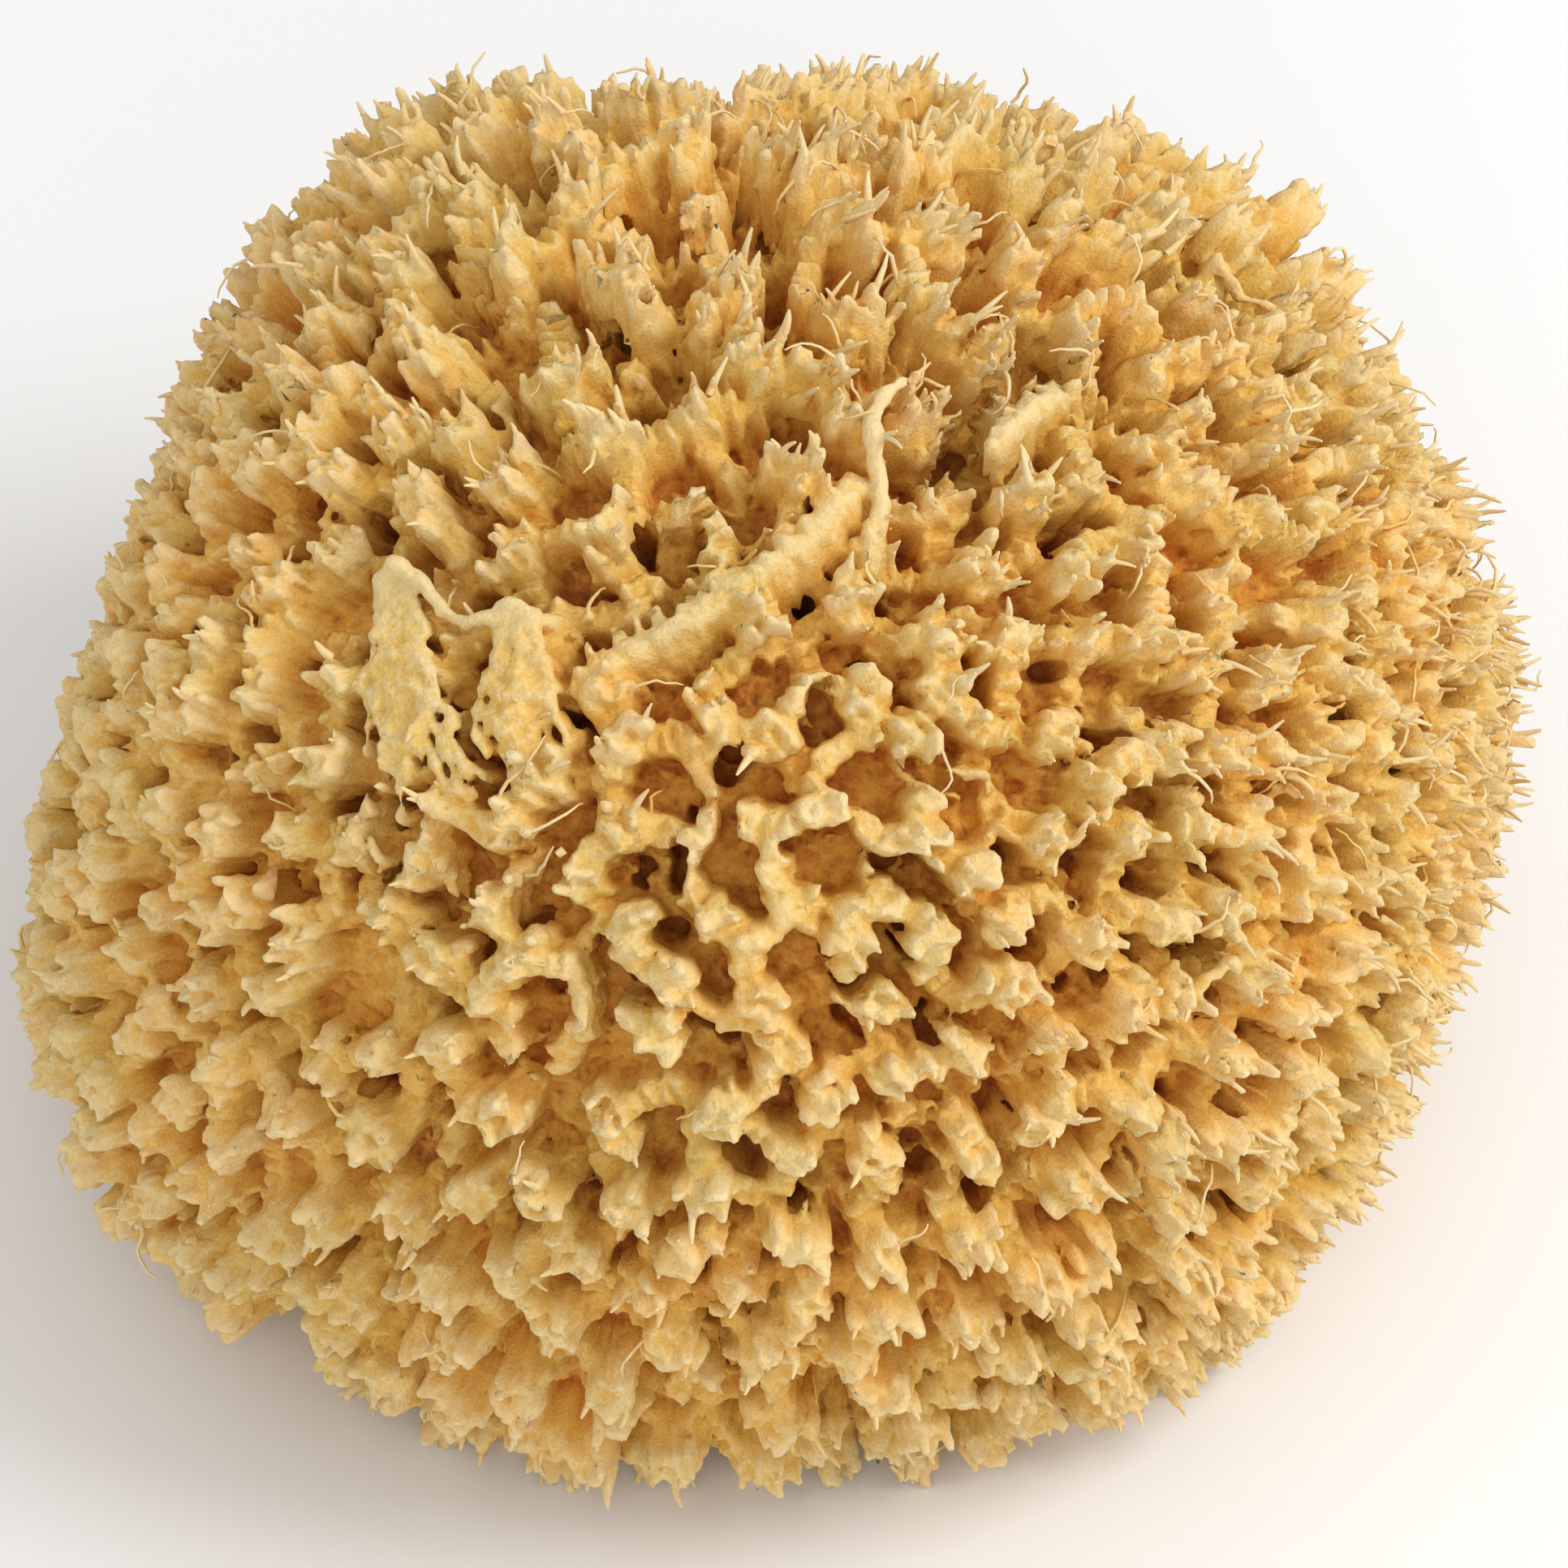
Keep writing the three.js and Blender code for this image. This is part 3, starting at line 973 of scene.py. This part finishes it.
def field_facing(mesh, melt, distance):
    """The surface's own facing at each vertex, from the block, or the mesh's where that is unclear."""
    facing = slopes(distance, melt, vertex_places(mesh))
    plain = np.empty(len(facing) * 3, np.float32)
    mesh.vertices.foreach_get("normal", plain)
    plain = plain.reshape(-1, 3)
    unclear = (np.linalg.norm(facing, axis=1) < 0.2 * STEP) | ((unit(facing) * plain).sum(1) < 0.35)
    return np.where(unclear[:, None], plain, unit(facing))


def sponge_pieces(melt, distance, openness, material):
    """The sponge in six closed blocks, which lap over each other a little and meet unseen."""
    counts = melt.counts
    edges_x = [0, *(int((seam - melt.low[0]) / STEP) for seam in SEAMS), counts[0]]
    edges_y = [0, int(-melt.low[1] / STEP), counts[1]]
    lap = 2
    pieces, crumbs = [], []
    for row, depth_name in enumerate(("front", "back")):
        blocks, corners = [], []
        for column, side_name in enumerate(("left", "middle", "right")):
            name = f"sponge_{depth_name}_{side_name}"
            first = np.array([max(edges_x[column] - lap, 0), max(edges_y[row] - lap, 0), 0])
            last = np.array([edges_x[column + 1] + lap, edges_y[row + 1] + lap, counts[2]])
            mesh = block_mesh(name, distance, melt, first, last)
            outward(mesh)
            blocks.append(placed(name, mesh))
            corners.append((melt.low + STEP * first, melt.low + STEP * (last - 1)))
        thinned(blocks, MOST_FACES)
        crumbs += [without_crumbs(block.data, *ends) for block, ends in zip(blocks, corners)]
        pieces += blocks
    for piece in pieces:
        mesh = piece.data
        facing = field_facing(mesh, melt, distance)
        finish_surface(mesh, melt, distance, openness, facing)
        mesh.normals_split_custom_set_from_vertices([tuple(way) for way in facing])
        mesh.materials.append(material)
    return pieces, np.concatenate(crumbs)


def placed(name, data):
    thing = bpy.data.objects.new(name, data)
    bpy.context.scene.collection.objects.link(thing)
    return thing


def finish_surface(mesh, melt, distance, openness, facing=None):
    """The measures that the materials read, and the places in metres."""
    points = vertex_places(mesh)
    if facing is None:
        facing = np.zeros_like(points)
    add_measure(mesh, "depth", body_radius(unit(points)) - np.linalg.norm(points, axis=1))
    add_measure(mesh, "openness", sampled(openness, melt, points + facing * 0.6))
    mesh.vertices.foreach_set("co", ((points + MIDDLE) * METRES).astype(np.float32).ravel())
    mesh.polygons.foreach_set("use_smooth", np.ones(len(mesh.polygons), bool))
    mesh.update()


# Threads: the frayed points that carry on from the fingers, and long loose ones


def thread_tree():
    """Each chain of edges becomes a closed tube, waved a little by a seeded noise."""
    tree = bpy.data.node_groups.new("threads", "GeometryNodeTree")
    tree.is_modifier = True
    new_socket = tree.interface.new_socket
    new_socket("Geometry", in_out="INPUT", socket_type="NodeSocketGeometry")
    for name, kind, value in (
        ("Sides", "NodeSocketInt", 4),
        ("Thickness", "NodeSocketFloat", 1.0),
        ("Wave height", "NodeSocketFloat", 0.3),
        ("Waves per mm", "NodeSocketFloat", 0.5),
        ("Seed", "NodeSocketInt", SEED),
        ("Material", "NodeSocketMaterial", None),
    ):
        socket = new_socket(name, in_out="INPUT", socket_type=kind)
        if value is not None:
            socket.default_value = value
    new_socket("Geometry", in_out="OUTPUT", socket_type="NodeSocketGeometry")
    given = new_node(tree, "NodeGroupInput", (-1200, 0)).outputs
    curves = new_node(tree, "GeometryNodeMeshToCurve", (-900, 100), {"Mesh": given["Geometry"]})
    inputs = {"Detail": 1.0, "Scale": given["Waves per mm"], "W": given["Seed"]}
    noise = new_node(tree, "ShaderNodeTexNoise", (-900, -150), inputs, noise_dimensions="4D")
    inputs = {0: noise.outputs["Color"], 1: (0.5, 0.5, 0.5)}
    centred = vector_math(tree, "SUBTRACT", inputs, (-700, -150))
    height = product(tree, measure(tree, "share", (-900, -450)), given["Wave height"], (-700, -400))
    wave = vector_math(tree, "SCALE", {0: centred, "Scale": height}, (-500, -200))
    inputs = {"Geometry": curves.outputs["Curve"], "Offset": wave}
    waved = new_node(tree, "GeometryNodeSetPosition", (-300, 50), inputs)
    inputs = {"Resolution": given["Sides"], "Radius": given["Thickness"]}
    profile = new_node(tree, "GeometryNodeCurvePrimitiveCircle", (-100, -150), inputs)
    inputs = {
        "Curve": waved.outputs["Geometry"],
        "Profile Curve": profile.outputs["Curve"],
        "Scale": measure(tree, "thickness", (-300, -350)),
        "Fill Caps": True,
    }
    tubes = new_node(tree, "GeometryNodeCurveToMesh", (100, 0), inputs)
    inputs = {"Geometry": tubes.outputs["Mesh"]}
    real = new_node(tree, "GeometryNodeRealizeInstances", (350, 0), inputs)
    inputs = {"Geometry": real.outputs["Geometry"], "Material": given["Material"]}
    dressed = new_node(tree, "GeometryNodeSetMaterial", (600, 0), inputs)
    new_node(tree, "NodeGroupOutput", (900, 0), {"Geometry": dressed.outputs["Geometry"]})
    return tree


def set_input(modifier, name, value):
    for item in modifier.node_group.interface.items_tree:
        if item.item_type == "SOCKET" and item.in_out == "INPUT" and item.name == name:
            modifier[item.identifier] = value


def thread_piece(name, paths, thickness, tree, material, wave_height):
    """One mesh of tubes. paths holds chains of places, thickness the radius at each of them."""
    count, steps = thickness.shape
    mesh = bpy.data.meshes.new(name)
    first = np.arange(count * steps).reshape(count, steps)
    edges = np.stack([first[:, :-1], first[:, 1:]], -1).reshape(-1, 2)
    mesh.from_pydata(paths.reshape(-1, 3).tolist(), edges.tolist(), [])
    add_measure(mesh, "thickness", thickness.ravel())
    add_measure(mesh, "share", np.tile(np.linspace(0, 1, steps), count))
    source = placed(name + "_paths", mesh)
    tubes = source.modifiers.new("tubes", "NODES")
    tubes.node_group = tree
    set_input(tubes, "Wave height", wave_height)
    set_input(tubes, "Material", material)
    graph = bpy.context.evaluated_depsgraph_get()
    made = bpy.data.meshes.new_from_object(source.evaluated_get(graph))
    made.name = name
    bpy.data.objects.remove(source)
    outward(made)
    return placed(name, made)


def gathered(rows, name):
    return np.array([row[name] for row in rows])


def frayed_points(ends, random):
    """The thin bent points that carry on from the ends of some fingers, one or two from each."""
    steps = 5
    chance = gathered(ends, "frayed")
    picked = np.flatnonzero(random.random(len(ends)) < chance)
    second = picked[random.random(len(picked)) < SECOND_POINT * chance[picked]]
    picked = np.concatenate([picked, second])
    starts, ways, outs, radius, fray = (
        gathered(ends, name)[picked] for name in ("place", "way", "out", "radius", "fray")
    )
    count = len(picked)
    length = (0.35 + fray * random.uniform(0.5, 1.4, count))[:, None]
    sideways = tangents(outs, random, 1)[:, 0]
    bend = sideways * random.uniform(0.05, 0.7, count)[:, None]
    way = unit(ways + random.normal(0, 0.2, (count, 3)))
    share = np.linspace(0, 1, steps)[None, :, None]
    inside = 0.9
    paths = starts[:, None] + way[:, None] * (length[:, None] * share - inside * (1 - share))
    paths = paths + (bend * length)[:, None] * share**2
    taper = (1 - share[..., 0]) ** 0.6
    thickness = 0.13 + radius[:, None] * random.uniform(0.6, 0.9, count)[:, None] * taper
    return paths, thickness


def well_rooted(paths, crumbs):
    """Which threads are clear of the cut and of the bits that were taken out."""
    tree = KDTree(len(crumbs))
    for index, place in enumerate(crumbs):
        tree.insert(place, index)
    tree.balance()
    rooted = np.array([(tree.find(path[0])[2] or CRUMB_REACH) >= CRUMB_REACH for path in paths])
    return rooted & clear_of_cut(paths)


def clear_of_cut(paths):
    return paths[..., 2].min(1) > 0.4 - MIDDLE[2]


def loose_threads(tops, ends, random):
    """Long thin threads that wander over the pits from some tufts and wall tops."""
    steps, count = 8, LOOSE_THREADS
    starts, outs = gathered(tops + ends, "place"), gathered(tops + ends, "out")
    weight = 0.12 + sum(nearness(outs, *REGIONS[name]) for name in ("crown", "right"))
    chosen = random.choice(len(starts), count, replace=False, p=weight / weight.sum())
    start, out = starts[chosen], outs[chosen]
    way = unit(out * random.uniform(0.2, 1.2, count)[:, None] + tangents(out, random, 1)[:, 0])
    place = start - out * 0.7
    paths = [place]
    length = random.uniform(3.5, 8.0, count)[:, None] / (steps - 1)
    for _ in range(steps - 1):
        way = unit(way + random.normal(0, 0.28, (count, 3)) - out * 0.22)
        place = place + way * length
        height = np.linalg.norm(place, axis=1)
        too_high = np.clip(height - body_radius(unit(place)) - 0.6, 0, None)
        place = place * (1 - too_high / height)[:, None]
        paths.append(place)
    share = np.linspace(0, 1, steps)[None]
    thickness = 0.09 + random.uniform(0.08, 0.2, count)[:, None] * (1 - share) ** 0.7
    paths = np.stack(paths, 1)
    return paths, thickness


def thread_pieces(melt, distance, openness, tops, ends, crumbs, random, material):
    tree = thread_tree()
    paths, thickness = frayed_points(ends, random)
    rooted = well_rooted(paths, crumbs)
    in_front = paths[:, 0, 1] < 0
    front, back = rooted & in_front, rooted & ~in_front
    groups = [
        ("frayed_points_front", paths[front], thickness[front], POINT_WAVE),
        ("frayed_points_back", paths[back], thickness[back], POINT_WAVE),
    ]
    paths, thickness = loose_threads(tops, ends, random)
    rooted = well_rooted(paths, crumbs)
    groups.append(("loose_threads", paths[rooted], thickness[rooted], THREAD_WAVE))
    pieces = []
    for name, chains, radii, wave_height in groups:
        piece = thread_piece(name, chains, radii, tree, material, wave_height)
        finish_surface(piece.data, melt, distance, openness)
        pieces.append(piece)
    return pieces


def box_blurred(values, reach):
    """The mean over a cube of points, by running sums along each axis."""
    for axis in range(3):
        width = 2 * reach + 1
        padding = [(reach + 1, reach) if k == axis else (0, 0) for k in range(3)]
        sums = np.cumsum(np.pad(values, padding, mode="edge"), axis=axis, dtype=np.float32)
        count = sums.shape[axis]
        later, earlier = sums.take(range(width, count), axis), sums.take(range(count - width), axis)
        values = (later - earlier) / width
    return values


def open_air(distance):
    """How much of the space around each point is air, from 0 to 1."""
    coarse = 2
    air = (distance[::coarse, ::coarse, ::coarse] > 0).astype(np.float32)
    blurred = box_blurred(box_blurred(air, 2), 2)
    return refined(np.pad(blurred, 1, mode="edge")[1:, 1:, 1:], coarse, distance.shape)


# Materials


# from the pits' floors to the tips: how light the place is, and its colour. The darkening towards the
# pits' floors is painted shade, and the paler tips are partly the fibre's own bleaching
SHADED_FIBRE_COLOURS = (
    (0.10, (0.54, 0.18, 0.03, 1)),
    (0.34, (0.72, 0.365, 0.058, 1)),
    (0.58, (0.81, 0.495, 0.110, 1)),
    (0.78, (0.85, 0.565, 0.168, 1)),
    (0.96, (0.885, 0.67, 0.310, 1)),
)
# the pale colour of the most open tips: partly the fibre's own bleaching and partly painted light
TIP_COLOUR = (0.89, 0.735, 0.455, 1)
# near black specks of tiny pores: painted shade in the fibre's small holes
PORE_SHADE_COLOUR = (0.10, 0.028, 0.012, 1)
# what the colour is multiplied by: the measure it follows, from and to which value, its most, its tint
TINTS = (
    ("Patches", 0.46, 0.66, 0.5, (0.80, 0.84, 0.74, 1)),
    ("Patches", 0.48, 0.34, 0.45, (1.0, 0.85, 0.64, 1)),
    ("Grain", 0.3, 0.7, 0.34, (0.62, 0.50, 0.38, 1)),
)


def new_node(tree, kind, place, inputs=None, **values):
    """A node. inputs holds, by name or number, the socket to link or the plain value of an input."""
    node = tree.nodes.new(kind)
    node.location = place
    for name, value in values.items():
        setattr(node, name, value)
    for name, value in (inputs or {}).items():
        if isinstance(value, bpy.types.NodeSocket):
            tree.links.new(value, node.inputs[name])
        else:
            node.inputs[name].default_value = value
    return node


def vector_math(tree, operation, inputs, place):
    return new_node(tree, "ShaderNodeVectorMath", place, inputs, operation=operation).outputs["Vector"]


def product(tree, first, second, place):
    inputs = {0: first, 1: second}
    return new_node(tree, "ShaderNodeMath", place, inputs, operation="MULTIPLY").outputs["Value"]


def sum_of(tree, first, second, weight, place):
    """The first value and a share of the second."""
    inputs = {0: second, 1: weight, 2: first}
    return new_node(tree, "ShaderNodeMath", place, inputs, operation="MULTIPLY_ADD").outputs["Value"]


def measure(tree, name, place):
    """A measure of the mesh, read in a Geometry Nodes tree."""
    kind = "GeometryNodeInputNamedAttribute"
    return new_node(tree, kind, place, {"Name": name}, data_type="FLOAT").outputs["Attribute"]


def mapped(tree, source, low, high, place, to_low=0.0, to_high=1.0):
    inputs = {"Value": source, "From Min": low, "From Max": high, "To Min": to_low, "To Max": to_high}
    return new_node(tree, "ShaderNodeMapRange", place, inputs).outputs["Result"]


def noise_at(tree, vector, scale, roughness, place):
    inputs = {"Vector": vector, "Scale": scale, "Detail": 2.0, "Roughness": roughness}
    return new_node(tree, "ShaderNodeTexNoise", place, inputs).outputs["Fac"]


def blended(tree, factor, first, second, place, blend="MIX"):
    """A colour between two. Each is a socket or a plain colour."""
    inputs = {0: factor, 6: first, 7: second}
    return new_node(tree, "ShaderNodeMix", place, inputs, data_type="RGBA", blend_type=blend).outputs[2]


def fibre_group():
    """The skin of the growth: strands that run out from the middle, grain, pores and patches."""
    tree = bpy.data.node_groups.new("fibre_skin", "ShaderNodeTree")
    scales = (("Strands per radian", 55.0), ("Grains per metre", 2600.0), ("Pores per metre", 620.0))
    for name, value in scales:
        socket = tree.interface.new_socket(name, in_out="INPUT", socket_type="NodeSocketFloat")
        socket.default_value = value
    for name in ("Strands", "Grain", "Pores", "Patches", "Height"):
        tree.interface.new_socket(name, in_out="OUTPUT", socket_type="NodeSocketFloat")
    given = new_node(tree, "NodeGroupInput", (-1400, -200)).outputs
    place = new_node(tree, "ShaderNodeTexCoord", (-1400, 200)).outputs["Object"]
    inputs = {"Vector": place, "Location": tuple(-MIDDLE * METRES)}
    centred = new_node(tree, "ShaderNodeMapping", (-1200, 200), inputs).outputs["Vector"]
    # strands are long outwards: the direction counts fully and the distance out only a little
    way = vector_math(tree, "NORMALIZE", {0: centred}, (-1000, 200))
    along = vector_math(tree, "SCALE", {0: centred, "Scale": 4.5}, (-1000, 0))
    drawn = vector_math(tree, "ADD", {0: way, 1: along}, (-800, 150))
    strands = noise_at(tree, drawn, given["Strands per radian"], 0.6, (-600, 300))
    grain = noise_at(tree, place, given["Grains per metre"], 0.65, (-600, 0))
    inputs = {"Vector": place, "Scale": given["Pores per metre"]}
    cells = new_node(tree, "ShaderNodeTexVoronoi", (-600, -250), inputs)
    results = {
        "Strands": strands,
        "Grain": grain,
        "Pores": mapped(tree, cells.outputs["Distance"], 0.34, 0.12, (-400, -250)),
        "Patches": noise_at(tree, place, 62.0, 0.5, (-600, -500)),
        "Height": sum_of(tree, strands, grain, 0.55, (-200, 100)),
    }
    new_node(tree, "NodeGroupOutput", (500, 0), results)
    return tree


def sponge_material(name, skin, stops, pale_share, bump):
    """Straw on the tips, ochre on the flanks and red brown in the pits. The darkening into the pits and
    hollows and the dark pores are painted shade.
    """
    material = bpy.data.materials.new(name)
    material.use_nodes = True
    tree = material.node_tree
    openness, depth = (
        new_node(tree, "ShaderNodeAttribute", (-1500, high), attribute_name=read).outputs["Fac"]
        for read, high in (("openness", 300), ("depth", 100))
    )
    detail = new_node(tree, "ShaderNodeGroup", (-1500, -150), node_tree=skin).outputs
    # how light a place is follows the air around it and its depth, unevenly from strand to strand.
    # Darker where a place is enclosed or deep: painted shade, with the paler tips partly the fibre's
    # own bleaching
    air = mapped(tree, openness, 0.16, 0.74, (-1250, 300))
    height = mapped(tree, depth, 12.0, 0.0, (-1250, 50))
    inputs = {0: 0.42, 2: air, 3: height}
    both = new_node(tree, "ShaderNodeMix", (-1050, 200), inputs, data_type="FLOAT").outputs[0]
    uneven = mapped(tree, detail["Strands"], 0.25, 0.75, (-1050, 0), -0.19, 0.19)
    level = sum_of(tree, both, uneven, 1.0, (-850, 150))
    ramp = new_node(tree, "ShaderNodeValToRGB", (-650, 250), {"Fac": level})
    first, last = ramp.color_ramp.elements
    (first.position, first.color), (last.position, last.color) = stops[0], stops[-1]
    for position, colour in stops[1:-1]:
        ramp.color_ramp.elements.new(position).color = colour
    colour = ramp.outputs["Color"]
    for k, (followed, low, high, most, tint) in enumerate(TINTS):
        share = mapped(tree, detail[followed], low, high, (-650, -50 - 150 * k), 0.0, most)
        colour = blended(tree, share, colour, tint, (-350 + 150 * k, 200), "MULTIPLY")
    # painted shade: dark pore specks, strongest in the darker, deeper places
    deep = mapped(tree, level, 0.55, 0.2, (-650, -500), 0.0, 0.5)
    pores = product(tree, detail["Pores"], deep, (-400, -400))
    colour = blended(tree, pores, colour, PORE_SHADE_COLOUR, (100, 200))
    # paler where the tips stand most in the open: partly their own bleaching, partly painted light
    pale = mapped(tree, openness, 0.74, 0.95, (-400, -600), 0.0, pale_share)
    colour = blended(tree, pale, colour, TIP_COLOUR, (250, 200))
    rough = mapped(tree, detail["Grain"], 0.3, 0.7, (-200, -200), 0.72, 0.95)
    inputs = {"Strength": bump, "Distance": 0.0004, "Height": detail["Height"]}
    relief = new_node(tree, "ShaderNodeBump", (0, -350), inputs).outputs["Normal"]
    shader = tree.nodes["Principled BSDF"]
    shader.inputs["Specular IOR Level"].default_value = 0.25
    for input_name, source in (("Base Color", colour), ("Roughness", rough), ("Normal", relief)):
        tree.links.new(source, shader.inputs[input_name])
    return material


# Camera, light and floor


def aim(thing, place, target):
    way = np.array(target) - np.array(place)
    flat = math.hypot(way[0], way[1])
    thing.location = place
    thing.rotation_euler = (math.atan2(flat, -way[2]), 0, math.atan2(-way[0], way[1]))


def camera():
    """The photo's own view: from the front and above, with the sponge nearly filling the frame."""
    elevation, distance, frame_width = math.radians(45), 0.95, 0.1548
    aside, lower = 0.0007, 0.0002  # how far the picture's middle lies from the ball's
    up = np.array([0, math.sin(elevation), math.cos(elevation)])
    target = np.array([aside, 0.0, 0.0]) + MIDDLE * METRES - up * lower
    back = np.array([0, -math.cos(elevation), math.sin(elevation)])
    data = bpy.data.cameras.new("camera")
    data.sensor_width = 36
    data.lens = data.sensor_width * distance / frame_width
    thing = placed("camera", data)
    aim(thing, tuple(target + back * distance), tuple(target))
    bpy.context.scene.camera = thing


def soft_light(name, place, size, power, colour):
    data = bpy.data.lights.new(name, "AREA")
    data.shape, data.size, data.energy, data.color = "DISK", size, power, colour
    aim(placed(name, data), place, (0, 0, 0.05))


def studio():
    """Soft light from all around, from the right and from the front."""
    world = bpy.data.worlds.new("studio")
    bpy.context.scene.world = world
    world.use_nodes = True
    background = world.node_tree.nodes["Background"]
    background.inputs["Color"].default_value = (1, 1, 1, 1)
    background.inputs["Strength"].default_value = 0.69
    soft_light("key_light", (0.66, -0.15, 0.74), 0.5, 4.7, (1, 0.985, 0.965))
    soft_light("fill_light", (-0.1, -1.0, 0.8), 0.8, 2.5, (1, 1, 1))
    bpy.context.scene.view_settings.view_transform = "Standard"


def pale_floor():
    mesh = bpy.data.meshes.new("floor")
    half = 3.0
    corners = [(-half, -half, 0), (half, -half, 0), (half, half, 0), (-half, half, 0)]
    mesh.from_pydata(corners, [], [(0, 1, 2, 3)])
    material = bpy.data.materials.new("pale_floor")
    material.use_nodes = True
    shader = material.node_tree.nodes["Principled BSDF"]
    shader.inputs["Base Color"].default_value = (0.93, 0.93, 0.93, 1)
    shader.inputs["Roughness"].default_value = 0.9
    mesh.materials.append(material)
    floor = placed("floor", mesh)


# Putting it together

camera()
studio()
pale_floor()
reach = HALF_SIZES + ROOM_AROUND
low = -reach
low[2] = -MIDDLE[2] - ROOM_UNDER
melt, pits, tops, ends, random = grow(low, reach)
add_core(melt)
distance = melt.distance()
carve_canals(melt, distance, pits, random)
carve_deep_pits(melt, distance)
carve_slot(melt, distance)
roughen(melt, distance)
cut_flat(melt, distance)
openness = open_air(distance)
skin = fibre_group()
fibre = sponge_material("sponge_fibre", skin, SHADED_FIBRE_COLOURS, pale_share=0.45, bump=0.7)
thread = sponge_material("thread_fibre", skin, SHADED_FIBRE_COLOURS[2:], pale_share=0.5, bump=0.25)
pieces, crumbs = sponge_pieces(melt, distance, openness, fibre)
pieces += thread_pieces(melt, distance, openness, tops, ends, crumbs, random, thread)
for piece in pieces:
    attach(piece, "root")
    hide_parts("sponge")
